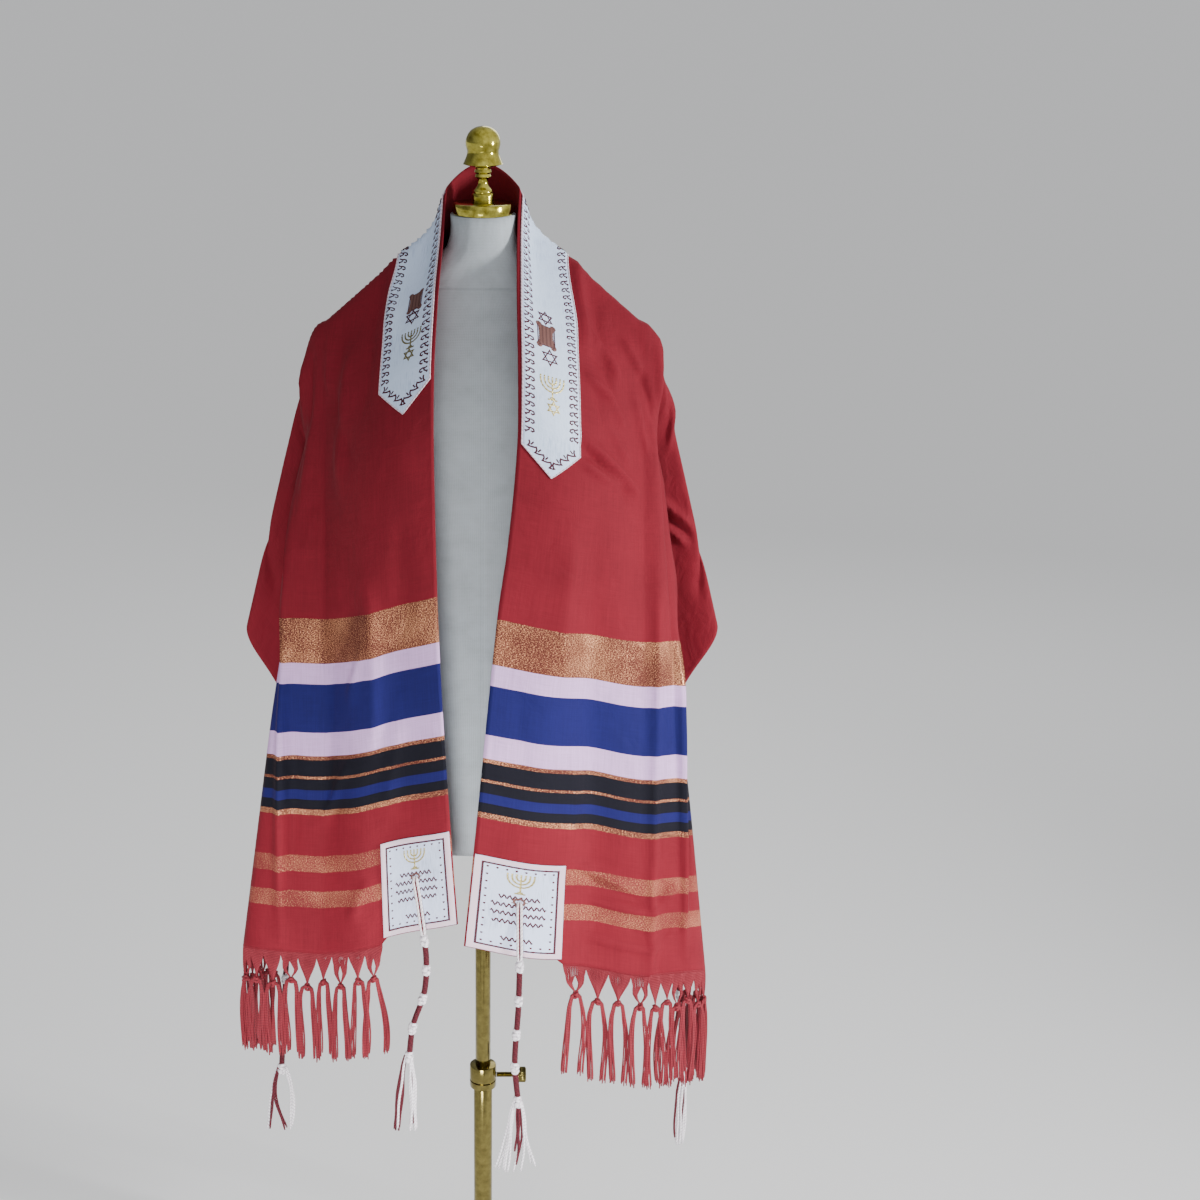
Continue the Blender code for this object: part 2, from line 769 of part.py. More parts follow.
def make_tassel(title):
    """The wound cord, and eight loose strands that spread from its last knot."""
    path = tassel_path(title)
    strand_length = TASSELS[title][3]
    cord_shape = strands("tassel_" + title, [path], "tassel_thread")
    cord = add_object("tassel_" + title, cord_shape, "tassel_thread")
    end = path[-1][0]
    paths = []
    for index in range(TASSEL_STRANDS):
        turn = 2.0 * math.pi * (index + 0.5) / TASSEL_STRANDS
        spread = Vector((math.cos(turn), 0.55 * math.sin(turn), 0.0))
        reach = strand_length * (1.0 - 0.05 * math.sin(3.0 * index))
        paths.append([
            (end + Vector((0.0, 0.0, TASSEL_KNOT * 0.6)) + spread * 0.0010, 0.0016),
            (end + spread * 0.0050 + Vector((0.0, 0.0, -0.2 * reach)), 0.0017),
            (end + spread * 0.0090 + Vector((0.0, 0.0, -0.6 * reach)), 0.0017),
            (end + spread * 0.0130 + Vector((0.0, 0.0, -reach)), 0.0015),
        ])
    fused("tassel_" + title, cord, strands("tassel_strands_" + title, paths, "tassel_thread"), "tassel_thread")


# ---- the dress form and stand -------------------------------------------------------------------


def form_ring(height, half_width, half_depth, back):
    """One level section of the form: an oval, a little squarer than an ellipse."""
    points = []
    for index in range(FORM_SIDES):
        turn = 2.0 * math.pi * index / FORM_SIDES
        over, deep = math.cos(turn), math.sin(turn)
        power = 2.0 / FORM_SQUARE
        points.append((
            half_width * math.copysign(abs(over) ** power, over),
            back + half_depth * math.copysign(abs(deep) ** power, deep),
            height,
        ))
    return points


def make_form():
    points = [point for row in FORM_RINGS for point in form_ring(*row)]
    rows = len(FORM_RINGS)
    faces = [face[::-1] for face in grid_faces(rows, FORM_SIDES, closed=True)]
    faces.append(tuple(range(FORM_SIDES)))
    faces.append(tuple(reversed(range((rows - 1) * FORM_SIDES, rows * FORM_SIDES))))
    mesh_from("form_body", points, faces, "linen")


def make_brass():
    cap_bottom = NECK_TOP + SEAM_GAP
    lip = 0.0012
    cap = [
        (0.0, CAP_THICK),
        (CAP_RADIUS - lip, CAP_THICK),
        (CAP_RADIUS, CAP_THICK - lip),
        (CAP_RADIUS, lip),
        (CAP_RADIUS - lip, 0.0),
        (0.0, 0.0),
    ]
    turned("neck_cap", cap, "brass", cap_bottom)
    turned("neck_finial", FINIAL_PROFILE, "brass", cap_bottom + CAP_THICK + SEAM_GAP)
    socket_bottom = FORM_BOTTOM - SEAM_GAP - SOCKET_DEPTH
    cylinder("form_socket", SOCKET_RADIUS, SOCKET_DEPTH, (0, 0, socket_bottom + SOCKET_DEPTH / 2), "brass")
    foot_top = FOOT_PROFILE[0][1]
    sleeve_bottom = foot_top + SEAM_GAP
    sleeve_middle = (SLEEVE_TOP + sleeve_bottom) / 2
    cylinder("pole_sleeve", SLEEVE_RADIUS, SLEEVE_TOP - sleeve_bottom, (0, 0, sleeve_middle), "brass")
    clamp_bottom = SLEEVE_TOP + SEAM_GAP
    clamp_top = clamp_bottom + CLAMP_HEIGHT
    cylinder("height_clamp", CLAMP_RADIUS, CLAMP_HEIGHT, (0, 0, (clamp_top + clamp_bottom) / 2), "brass")
    pole_bottom, pole_top = clamp_top + SEAM_GAP, socket_bottom - SEAM_GAP
    cylinder("pole_upper", POLE_RADIUS, pole_top - pole_bottom, (0, 0, (pole_top + pole_bottom) / 2), "brass")
    turned("stand_foot", FOOT_PROFILE, "brass")
    make_clamp_screw((clamp_top + clamp_bottom) / 2)


def make_clamp_screw(height):
    """The thumb screw that sets the height: a shank and a turned knob on one level axis."""
    start = CLAMP_RADIUS + SEAM_GAP
    profile = [
        (0.0, start + SCREW_LENGTH + KNOB_LENGTH),
        (KNOB_RADIUS, start + SCREW_LENGTH + KNOB_LENGTH),
        (KNOB_RADIUS, start + SCREW_LENGTH),
        (SCREW_RADIUS, start + SCREW_LENGTH),
        (SCREW_RADIUS, start),
        (0.0, start),
    ]
    screw = turned("clamp_screw", profile, "brass")
    screw.rotation_euler = (0.0, math.pi / 2, 0.0)
    screw.location = (0.0, 0.0, height)


def main():
    clear_scene()
    for name in ("shawl_on_form", "cutters"):
        home = bpy.data.collections.new(name)
        bpy.context.scene.collection.children.link(home)
    make_form()
    make_brass()
    make_cloth()
    make_neckband()
    for title, (name, edge, *_) in TASSELS.items():
        make_patch(title, name, edge)
        make_tassel(title)
    for name in SIDES:
        make_fringe(name)


main()
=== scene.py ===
"""A striped prayer shawl on a linen dress form with a brass stand, finished for the camera.

Metres, +Z up.  +X is the viewer's right and the front faces -Y.

A place on the shawl is (side, u, v): u runs along the sheet from the middle of its
upper edge at the nape, v across it from the upper edge down.  hang() gives where such
a place is, on the same drape as the solids, and creased() adds the creases.  All that
is sewn or laid on the shawl is placed through creased(), so it follows every fold.
"""

import math

import bmesh
import bpy
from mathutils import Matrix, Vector


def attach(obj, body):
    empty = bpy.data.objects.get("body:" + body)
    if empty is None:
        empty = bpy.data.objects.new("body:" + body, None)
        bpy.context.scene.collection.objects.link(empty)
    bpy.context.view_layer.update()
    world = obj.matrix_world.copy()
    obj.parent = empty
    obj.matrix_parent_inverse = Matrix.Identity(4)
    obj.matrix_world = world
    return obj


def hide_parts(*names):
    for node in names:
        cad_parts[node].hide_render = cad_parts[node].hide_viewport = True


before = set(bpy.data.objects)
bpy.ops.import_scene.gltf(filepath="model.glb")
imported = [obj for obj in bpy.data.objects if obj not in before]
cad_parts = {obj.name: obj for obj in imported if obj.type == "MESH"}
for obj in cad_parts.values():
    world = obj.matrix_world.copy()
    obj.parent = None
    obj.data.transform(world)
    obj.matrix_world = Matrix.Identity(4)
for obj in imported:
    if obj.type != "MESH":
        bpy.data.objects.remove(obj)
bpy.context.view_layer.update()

# ---- the sheet, as cut ----
SHEET_LENGTH = 1.90
SHEET_WIDTH = 0.52
SHEET_PULL = 0.013  # the sheet lies this much further to the right
CLOTH_WALL = 0.0014  # of the solid
SHEET_WALL = 0.0011  # of the sheet shown, whose middle is the solid's
SEAM_GAP = 0.0003
LAID_GAP = 0.0005  # between the cloth and what is laid on it
HEM_STRIP = 0.007  # the fringe's own strip, parted from the sheet's ends
SHEET_STEP = 0.0047

# ---- how it hangs ----
COLLAR_RADIUS = 0.041
COLLAR_BACK = 0.046
NECK_U = 0.060  # u where the upper edge reaches the side of the neck
TIP_U = 0.185  # the shoulder tip's place on the sheet
TIP_V = 0.165
NAPE_HEIGHT = 1.452
NECK_HEIGHT = 1.429
TIP_OUT = 0.178
TIP_HEIGHT = 1.279
DOME = 0.014  # how far the cloth runs on level before it falls
FAN_START = 0.030  # the fold grows over this stretch below the tip
FAN_FULL = 0.200
NECK_OUT = COLLAR_RADIUS * math.sin(NECK_U / COLLAR_RADIUS)
NECK_BACK = COLLAR_BACK * math.cos(NECK_U / COLLAR_RADIUS)

# The ridge over each shoulder: share of the way, then out, back and height.
RIDGE = [
    (0.0, NECK_OUT, NECK_BACK, NECK_HEIGHT), (0.15, 0.056, 0.01, 1.388), (0.4, 0.092, 0.006, 1.3555),
    (0.7, 0.135, 0.002, 1.317), (1.0, TIP_OUT, 0.0, TIP_HEIGHT),
]

# The upper edge in front, from the side of the neck down: along, then out, back, height.
EDGE_LEFT = [
    (0.0, NECK_OUT, NECK_BACK, NECK_HEIGHT), (0.06, 0.044, -0.022, 1.379), (0.14, 0.049, -0.076, 1.321),
    (0.23, 0.053, -0.118, 1.242), (0.35, 0.053, -0.132, 1.123), (0.55, 0.048, -0.139, 0.924),
    (0.75, 0.037, -0.146, 0.725), (0.88, 0.028, -0.15, 0.596),
]
EDGE_RIGHT = [
    (0.0, NECK_OUT, NECK_BACK, NECK_HEIGHT), (0.06, 0.038, -0.022, 1.379), (0.14, 0.037, -0.076, 1.321),
    (0.23, 0.038, -0.118, 1.242), (0.31, 0.037, -0.13, 1.163), (0.42, 0.027, -0.136, 1.054),
    (0.5, 0.016, -0.141, 0.975), (0.73, -0.006, -0.15, 0.746), (0.905, -0.023, -0.155, 0.572),
]

# The fan below each shoulder tip: turn, out, back.  turn is the angle in the cloth, from
# straight across the sheet (0, at the back) to straight along it (90, in front); out and
# back are the leans of that line of the cloth, in metres for each metre it falls.
FAN_LEFT = [
    (0.0, 0.08, 0.19), (14.0, 0.192, 0.142), (27.0, 0.245, 0.05), (40.0, 0.13, 0.075),
    (54.0, -0.02, 0.105), (66.0, 0.055, 0.06), (75.0, 0.115, -0.015), (82.0, 0.134, -0.096),
    (90.0, 0.015, -0.13),
]
FAN_RIGHT = [
    (0.0, 0.08, 0.19), (14.0, 0.19, 0.142), (27.0, 0.24, 0.054), (40.0, 0.12, 0.08), (54.0, -0.03, 0.105),
    (66.0, 0.04, 0.06), (74.0, 0.085, -0.01), (81.0, 0.104, -0.092), (90.0, 0.015, -0.135),
]
SOFT_FAN = [
    (0.0, 0.08, 0.19), (45.0, 0.27, 0.02), (90.0, 0.015, -0.13),
]

# The back, hanging from the collar.
BACK_DEPTH = 0.112  # how far behind the axis the back hangs
BACK_RUN = 0.230  # length over which it leans out to that depth
BACK_LOSS = 0.018  # height that the lean saves
BACK_SPREAD = 0.020  # how much wider the nape's stretch becomes below
BACK_BELLY = 0.008

# Soft flutes: place across the half sheet (u at the back, v in front), width, depth.
BACK_FLUTES = [
    (0.045, 0.04, 0.012), (0.12, 0.036, -0.012),
]
FRONT_FLUTES = {
    "left": [
        (0.05, 0.045, 0.008), (0.125, 0.035, -0.006),
    ],
    "right": [
        (0.04, 0.045, -0.006), (0.11, 0.04, 0.01),
    ],
}
FRONT_BELLY = 0.022  # how far the chest pushes the cloth out between edge and tip
BELLY_START = 0.10
BELLY_END = (0.25, 0.65)
BELLY_LEFT = 0.25  # share of the belly that is left at the hem
FLUTE_START = 0.20  # flutes fade in over this length below the ridge
FLUTE_RUN = 0.45

SIDES = {
    "left": {"sign": -1.0, "half": SHEET_LENGTH / 2 - SHEET_PULL, "edge": EDGE_LEFT, "fan": FAN_LEFT},
    "right": {"sign": 1.0, "half": SHEET_LENGTH / 2 + SHEET_PULL, "edge": EDGE_RIGHT, "fan": FAN_RIGHT},
}
SHEET_END = {name: side["half"] - HEM_STRIP - SEAM_GAP for name, side in SIDES.items()}

# ---- creases ----
# Soft ridges (depth above 0) and troughs on each half of the sheet, in millimetres: u and
# v of one end, u and v of the other, width, depth.  They fade in and out along their length.
RIDGE_GAIN = 2.4
TROUGH_GAIN = 1.7
CREASES_MM = {
    "left": [
        # the fold pressed in for storage
        (300, 216, 620, 213, 6, 4.4), (520, 213, 955, 216, 5.8, 4.8), (360, 231, 700, 228, 10, -2.2),
        (620, 200, 900, 203, 9, -1.6),
        # down from the neck, beside the band
        (100, 75, 240, 58, 8, 2.2), (150, 94, 330, 88, 11, -2.6), (205, 118, 420, 132, 10, 3),
        (250, 150, 380, 112, 8.5, -2.4),
        # short pulls below the shoulder tip
        (190, 160, 290, 148, 8, 2.6), (205, 184, 330, 196, 9, -3), (220, 205, 345, 236, 8, 2.6),
        (215, 238, 330, 288, 10, -2.8), (180, 262, 260, 352, 10, 2.8),
        # a broad hollow down the front
        (330, 128, 940, 140, 30, -3),
        # long soft ones down the front
        (460, 92, 740, 84, 14, 3.2), (520, 150, 840, 158, 12, -2.4), (640, 56, 800, 70, 12, 1.8),
        (430, 36, 600, 48, 10, -1.8),
        # small ones that cross the stripes
        (700, 122, 790, 176, 6, 2.2), (560, 84, 640, 132, 5.5, 2), (400, 166, 470, 190, 6, 2.2),
        (850, 98, 905, 128, 7, 2.2),
        # the wing
        (330, 276, 560, 292, 11, 2.6), (420, 318, 720, 330, 12, -2.6), (360, 352, 520, 392, 9, 2.2),
        (640, 358, 900, 350, 11, 2.4), (560, 402, 820, 418, 12, -2.2), (480, 446, 640, 470, 10, 1.8),
        (260, 400, 420, 452, 11, -2.4),
        # the back, down from the nape
        (40, 60, 75, 190, 9, 3.3), (20, 110, 30, 300, 13, -3.9), (85, 120, 120, 330, 11, 4.2),
        (140, 200, 165, 470, 12, -4.2), (60, 330, 72, 500, 12, 3.3), (105, 300, 60, 380, 7, 1.9),
    ],
    "right": [
        # the pressed fold
        (300, 236, 560, 233, 6, 4.4), (480, 234, 975, 238, 5.8, 4.8), (340, 219, 760, 222, 9.5, -2.4),
        (560, 253, 920, 250, 11, -2),
        # down from the neck, beside the band
        (95, 76, 250, 84, 8, 2.4), (160, 100, 300, 112, 9, -2.4),
        # fine slanting ones over the chest
        (200, 86, 270, 132, 5.2, 2.6), (222, 82, 305, 128, 5, -2.4), (246, 88, 330, 140, 5.2, 2.7),
        (272, 82, 352, 126, 5.2, -2.2), (300, 92, 366, 146, 5.2, 2.5), (262, 70, 290, 122, 4.5, 3),
        (330, 62, 400, 168, 5, 4), (344, 62, 412, 160, 5.5, -3.6), (364, 64, 392, 142, 4.5, 3.6),
        (210, 132, 262, 168, 5.5, 2.8), (240, 150, 318, 196, 6, -2.6), (262, 142, 352, 178, 5.5, 2.5),
        # short pulls below the shoulder tip
        (190, 186, 300, 202, 8, 2.8), (212, 214, 322, 248, 9, -3), (196, 236, 300, 300, 8.5, 2.8),
        (185, 290, 262, 372, 10, -2.6),
        # a broad hollow down the front
        (340, 104, 1060, 100, 28, -4.2),
        # and the fold that stands up beside it
        (360, 190, 1060, 176, 32, 1.7), (400, 190, 1060, 176, 7.5, 2), (430, 60, 640, 74, 12, 2.4),
        (690, 92, 860, 80, 12, 1.8), (610, 30, 760, 40, 11, -1.6),
        # puckers between the lowest stripes
        (836, 84, 862, 156, 4.6, 3.4), (850, 98, 876, 172, 4.6, -3.2), (880, 96, 886, 205, 4.8, 3.4),
        (904, 92, 912, 180, 4.6, -3.2), (924, 96, 930, 205, 4.8, 3.4), (872, 186, 852, 232, 5, 3),
        (914, 186, 902, 240, 5, -3),
        # the wing
        (320, 290, 580, 300, 11, 2.8), (440, 336, 760, 330, 12, -2.8), (354, 312, 316, 402, 5, 3.4),
        (366, 318, 330, 408, 4.6, -3.4), (378, 316, 344, 412, 5, 3.2), (400, 362, 560, 398, 9, 2.2),
        (660, 372, 920, 366, 11, 2.4), (560, 424, 860, 412, 12, -2.2), (500, 462, 660, 480, 10, 1.8),
        (270, 412, 400, 470, 11, -2.4),
        # the back, down from the nape
        (38, 70, 60, 210, 9, -3.3), (60, 150, 52, 360, 12, 3.9), (100, 110, 142, 300, 10, 4.2),
        (150, 230, 150, 490, 13, -4.2), (15, 260, 26, 480, 13, 3.3), (110, 360, 88, 450, 7, 1.9),
    ],
}
CREASES = {name: [[part / 1000.0 for part in row] for row in rows] for name, rows in CREASES_MM.items()}

# ---- what is sewn on ----
BAND_REACH = {"left": 0.322, "right": 0.392}  # u of each pointed end
BAND_WIDTH = 0.064
BAND_INSET = 0.004
BAND_POINT = 0.030
BAND_WALL = 0.0010
BAND_MIDDLE = BAND_INSET + BAND_WIDTH / 2
BAND_SHOULDER = {name: reach - BAND_POINT for name, reach in BAND_REACH.items()}
BAND_LIFT = CLOTH_WALL / 2 + LAID_GAP + BAND_WALL / 2
BAND_TOP = BAND_LIFT + BAND_WALL / 2
BAND_STEP = 0.005
BAND_STEP_ACROSS = 0.0041
PIPING_STEP = 0.006
PIPING_RADIUS = 0.0009
REPEAT = 0.0092  # of the border along the band
BORDER_INSET = 0.0078  # from the band's edge to the repeat's middle
BORDER_WIDE = 0.0019  # stitched width
HOOK_WIDE = 0.0078
SCALLOPS_START = 0.006  # before the band begins to narrow
SCALLOPS_END = 0.0105  # before its tip
PATCH_WIDE = 0.082
PATCH_TALL = 0.114
PATCH_INSET = 0.0015
PATCH_WALL = 0.0009
PATCH_LIFT = CLOTH_WALL / 2 + LAID_GAP + PATCH_WALL / 2
PATCH_TOP = PATCH_LIFT + PATCH_WALL / 2
PATCH_STEP = 0.0042
BORDER_RIBBON = 0.0062  # width of the checked ribbon round a patch
DOT_STEP = 0.0088  # from dot to dot inside the frame line
# Rows of plain running stitches on a patch: half length, height over its middle.
RUNNING_WAVES = [(0.018, 0.013), (0.024, 0.003), (0.024, -0.007), (0.022, -0.017), (0.014, -0.038)]
SCROLL_ROWS = 0.0017  # from row to row of a scroll's stitches
STITCH_SUNK = 0.00006  # a stitched line's edges dip this far into what it lies on

FRINGE_FROM = 0.086  # the corners under the patches have no fringe
FRINGE_BUNDLES = 16
FRINGE_DROP = 0.042  # from the strip down to the knots
FRINGE_LENGTH = 0.145
COMB_START = 0.0022  # the threads begin inside the strip's edge
COMB_RADIUS = 0.00076
CORD_RADIUS = 0.00112
CORD_TIP = 0.0008
FRINGE_KNOT = 0.0023  # radius of a knot's turns, and of the cord in them
KNOT_CORD = 0.0017

EYELET_UP = 0.066  # above the patch's lower edge
TASSEL_LIFT = 0.0029  # cord's middle off the patch
TASSEL_LOOP = 0.076  # bare loop over the patch, above the first knot
TASSEL_FORWARD = 0.009  # how far the hem's edge pushes the cord out
TASSEL_KNOTS = 5
KNOT_HALF = 0.0068  # half a double knot's height
CORE_RADIUS = 0.0022
KNOT_THREAD = 0.0021
WIND_RADIUS = 0.0027  # of the winding round the core
WIND_THREAD = 0.0010
WIND_PITCH = 0.0021
STRAND_RADIUS = 0.00145
STRAND_TIP = 0.0010
TASSELS = {
    # name          side      edge     first knot to last, strands
    "front_left": ("left", "upper", 0.149, 0.101),
    "front_right": ("right", "upper", 0.174, 0.097),
    "back_left": ("left", "lower", 0.170, 0.091),
    "back_right": ("right", "lower", 0.154, 0.102),
}
TASSEL_SWAY = {
    # name: share of the cord's length, how far it has swung to +X and to +Y
    "front_left": [
        (0.0, 0.0, 0.0), (0.28, 0.012, 0.0), (0.45, 0.016, 0.001), (0.64, 0.013, 0.002),
        (0.82, 0.0, 0.001), (1.0, -0.005, 0.0),
    ],
    "front_right": [(0.0, 0.0, 0.0), (0.5, -0.002, 0.001), (0.8, -0.006, 0.002), (1.0, -0.002, 0.001)],
    "back_left": [(0.0, 0.0, 0.0), (0.3, -0.011, 0.001), (1.0, -0.023, 0.002)],
    "back_right": [(0.0, 0.0, 0.0), (0.3, 0.014, 0.001), (1.0, 0.027, 0.002)],
}
# The loose strands below the last knot, in millimetres: thread, how far each stands to
# +X and to the back at half its length, how far to +X at its tip, and its share of the length.
TASSEL_STRANDS = {
    "front_left": [
        ("red", -14.0, 0.0, -19.0, 0.97), ("red", -11.5, 1.4, -16.5, 1.0),
        ("red", -9.5, -1.0, -14.0, 0.99), ("red", -12.6, -1.6, -17.5, 0.94),
        ("red", -8.0, 1.2, -12.0, 0.96), ("white", -10.6, -2.4, -15.4, 0.95),
        ("white", 1.0, 0.0, 0.5, 1.0), ("white", 3.2, 1.2, 2.8, 0.98), ("white", 5.2, -0.6, 5.6, 1.0),
        ("white", 2.2, -1.6, 1.8, 0.93), ("white", 6.8, 0.8, 7.4, 0.96), ("red", 4.2, 0.6, 4.2, 0.9),
    ],
    "front_right": [
        ("white", -13.5, 0.0, -27.0, 0.93), ("white", -11.5, 1.5, -22.0, 0.97),
        ("white", -9.5, -1.2, -18.0, 0.95), ("white", -7.4, 0.8, -12.0, 1.0),
        ("white", -10.4, -1.8, -15.0, 0.98), ("white", 9.5, 0.4, 20.0, 0.92),
        ("white", 7.6, -1.0, 4.0, 0.98), ("white", 6.0, 1.0, -5.0, 1.0), ("white", 8.6, 1.6, 15.0, 0.88),
        ("red", -1.0, 0.6, -3.0, 0.72), ("red", 1.2, -0.6, 1.5, 0.66), ("red", 0.2, 1.4, 0.0, 0.8),
        ("red", 4.4, 0.2, -1.0, 0.9),
    ],
    "back_left": [
        ("white", -15.0, 0.6, -21.0, 1.0), ("red", -12.6, -0.8, -16.5, 0.98),
        ("red", -13.8, 1.2, -18.5, 0.95), ("red", -9.5, -1.0, 2.0, 1.0), ("white", 13.0, 0.4, 9.0, 0.98),
        ("white", 11.0, -1.0, 8.0, 1.0), ("white", 14.6, 1.0, 11.5, 0.95), ("red", -8.6, 0.8, 4.5, 0.97),
    ],
    "back_right": [
        ("white", -9.0, 0.5, -8.5, 0.95), ("white", -6.6, -1.2, -6.0, 1.0),
        ("white", -4.4, 1.4, -5.0, 0.98), ("white", -2.2, -1.4, -3.5, 1.0),
        ("white", 0.0, 1.2, -2.5, 0.97), ("white", 2.2, -0.6, -0.5, 0.94), ("white", 3.8, 0.8, 1.0, 0.99),
        ("red", -10.0, -0.6, -9.5, 0.9), ("red", 1.2, 0.2, -1.6, 0.86),
    ],
}

# ---- the form and its stand ----
FORM_BOTTOM = 0.660
NECK_TOP = 1.400
# Below the top, half width, half depth, how far back the ring's middle is.
FORM_RINGS = [
    (0.0, 0.0365, 0.0365, 0.004), (0.02, 0.0365, 0.037, 0.005), (0.04, 0.043, 0.038, 0.006),
    (0.055, 0.0622, 0.0393, 0.0055), (0.072, 0.0842, 0.0412, 0.0045), (0.09, 0.106, 0.044, 0.003),
    (0.11, 0.126, 0.05, 0.001), (0.13, 0.14, 0.058, -0.002), (0.155, 0.147, 0.069, -0.006),
    (0.19, 0.15, 0.081, -0.007), (0.24, 0.148, 0.09, -0.005), (0.32, 0.14, 0.09, 0.0),
    (0.41, 0.129, 0.085, 0.004), (0.5, 0.137, 0.092, 0.008), (0.6, 0.152, 0.101, 0.01),
    (0.68, 0.156, 0.103, 0.01), (0.725, 0.152, 0.1, 0.01), (0.74, 0.142, 0.092, 0.01),
]
FORM_SQUARE = 2.3  # 2 is an ellipse, more is squarer
FORM_GIRTH = 0.80  # metres of linen round it, for the weave
NECK_SEAM = 0.078  # below the top
SEAM_TURNS = [0.0, 52.0, 128.0, 180.0, 218.0, 270.0, 322.0]  # 270 is the front's middle
SEAM_SUNK = 0.0009
SEAM_WELT = 0.0003

CAP_RADIUS = 0.0335
CAP_THICK = 0.013
# Radius, height above the cap.
FINIAL_PROFILE = [
    (0.0126, 0.0), (0.0126, 0.009), (0.0107, 0.0105), (0.0107, 0.013), (0.0062, 0.019), (0.0062, 0.026),
    (0.009, 0.0285), (0.008, 0.0315), (0.0095, 0.0335), (0.0095, 0.0385), (0.0212, 0.042),
    (0.0215, 0.0435), (0.0186, 0.051), (0.0176, 0.056), (0.0184, 0.0595), (0.0195, 0.065),
    (0.0182, 0.072), (0.0142, 0.0785), (0.008, 0.0825), (0.002, 0.0838),
]
POLE_RADIUS = 0.0095
SLEEVE_RADIUS = 0.0115
SLEEVE_TOP = 0.310
SOCKET_RADIUS = 0.030
SOCKET_DEPTH = 0.014
CLAMP_RADIUS = 0.0165
CLAMP_HEIGHT = 0.030
SCREW_RADIUS = 0.0035
SCREW_LENGTH = 0.026
SCREW_TURNS = 18
KNOB_RADIUS = 0.0095
KNOB_LENGTH = 0.011
KNOB_RIB = 22.5  # degrees from rib to rib
# Radius, height.
FOOT_PROFILE = [
    (0.1385, 0.0), (0.14, 0.003), (0.1385, 0.007), (0.126, 0.0095), (0.06, 0.013), (0.03, 0.0146),
    (0.02, 0.016), (0.018, 0.031), (0.016, 0.034),
]


def smooth(share):
    share = min(max(share, 0.0), 1.0)
    return share * share * (3.0 - 2.0 * share)


def mix(a, b, share):
    return a + (b - a) * share


def shares(count):
    """From 0 to 1 in count equal steps."""
    return [index / count for index in range(count + 1)]


def up(height):
    return Vector((0.0, 0.0, height))


def read_table(rows, place):
    """The values of a table at a place in its first column, smooth between its rows."""
    place = min(max(place, rows[0][0]), rows[-1][0])
    index = 0
    while index < len(rows) - 2 and place > rows[index + 1][0]:
        index += 1
    low, high = rows[index], rows[index + 1]
    before = rows[index - 1] if index > 0 else low
    after = rows[index + 2] if index + 2 < len(rows) else high
    step = high[0] - low[0]
    share = (place - low[0]) / step
    square, cube = share * share, share ** 3
    values = []
    for column in range(1, len(low)):
        slope_low = (high[column] - before[column]) / (high[0] - before[0]) * step
        slope_high = (after[column] - low[column]) / (after[0] - low[0]) * step
        values.append(
            (2 * cube - 3 * square + 1) * low[column] + (cube - 2 * square + share) * slope_low
            + (3 * square - 2 * cube) * high[column] + (cube - square) * slope_high
        )
    return Vector(values)


def collar_edge(u):
    """The upper edge round the nape, for u up to NECK_U."""
    turn = u / COLLAR_RADIUS
    height = mix(NAPE_HEIGHT, NECK_HEIGHT, smooth(u / NECK_U))
    return Vector((COLLAR_RADIUS * math.sin(turn), COLLAR_BACK * math.cos(turn), height))


def fan_point(side, length, turn):
    """A point of the fan: length along a straight line of the cloth from the tip."""
    soft, folded = read_table(SOFT_FAN, turn), read_table(side["fan"], turn)
    lean = soft.lerp(folded, smooth((length - FAN_START) / (FAN_FULL - FAN_START)))
    level = DOME * (1.0 - math.exp(-length / DOME))
    heading = math.radians(2.0 * (90.0 - turn))
    fall = Vector((lean[0], lean[1], -1.0)).normalized() * (length - level)
    tip = Vector((TIP_OUT, 0.0, TIP_HEIGHT))
    return tip + Vector((math.sin(heading), -math.cos(heading), 0.0)) * level + fall


def ridge_bend(share, fall):
    """How far the ridge stands off the straight line between its ends; it fades below."""
    straight = Vector(RIDGE[0][1:]).lerp(Vector(RIDGE[-1][1:]), share)
    return (read_table(RIDGE, share) - straight) * (1.0 - smooth(fall / FLUTE_START))


def flutes(rows, place, fall):
    """How deep the soft flutes are at a place across the cloth."""
    depth = sum(size * math.exp(-((place - middle) / width) ** 2) for middle, width, size in rows)
    return depth * smooth((fall - FLUTE_START) / FLUTE_RUN)


def belly(share, fall):
    """The cloth's crown over the chest, across the front from the edge to the tip's line."""
    first, last = BELLY_END
    kept = 1.0 - (1.0 - BELLY_LEFT) * smooth((fall - first) / (last - first))
    size = FRONT_BELLY * smooth(fall / BELLY_START) * kept * math.sin(math.pi * share)
    return Vector((0.4 * size, -0.9 * size, 0.0))


def front_point(name, u, v):
    share = v / TIP_V
    fall = u - mix(NECK_U, TIP_U, share)
    inner, outer = read_table(SIDES[name]["edge"], fall), fan_point(SIDES[name], fall, 90.0)
    point = inner.lerp(outer, share) + ridge_bend(share, fall) + belly(share, fall)
    point.y += flutes(FRONT_FLUTES[name], v, fall) * math.sin(math.pi * share)
    return point


def nape_fall(start, fall, out):
    """A line of the back, hanging from its start on the collar."""
    lean = smooth(fall / BACK_RUN)
    height = start.z - fall + BACK_LOSS * lean
    return Vector((mix(start.x, out, lean), mix(start.y, BACK_DEPTH, lean), height))


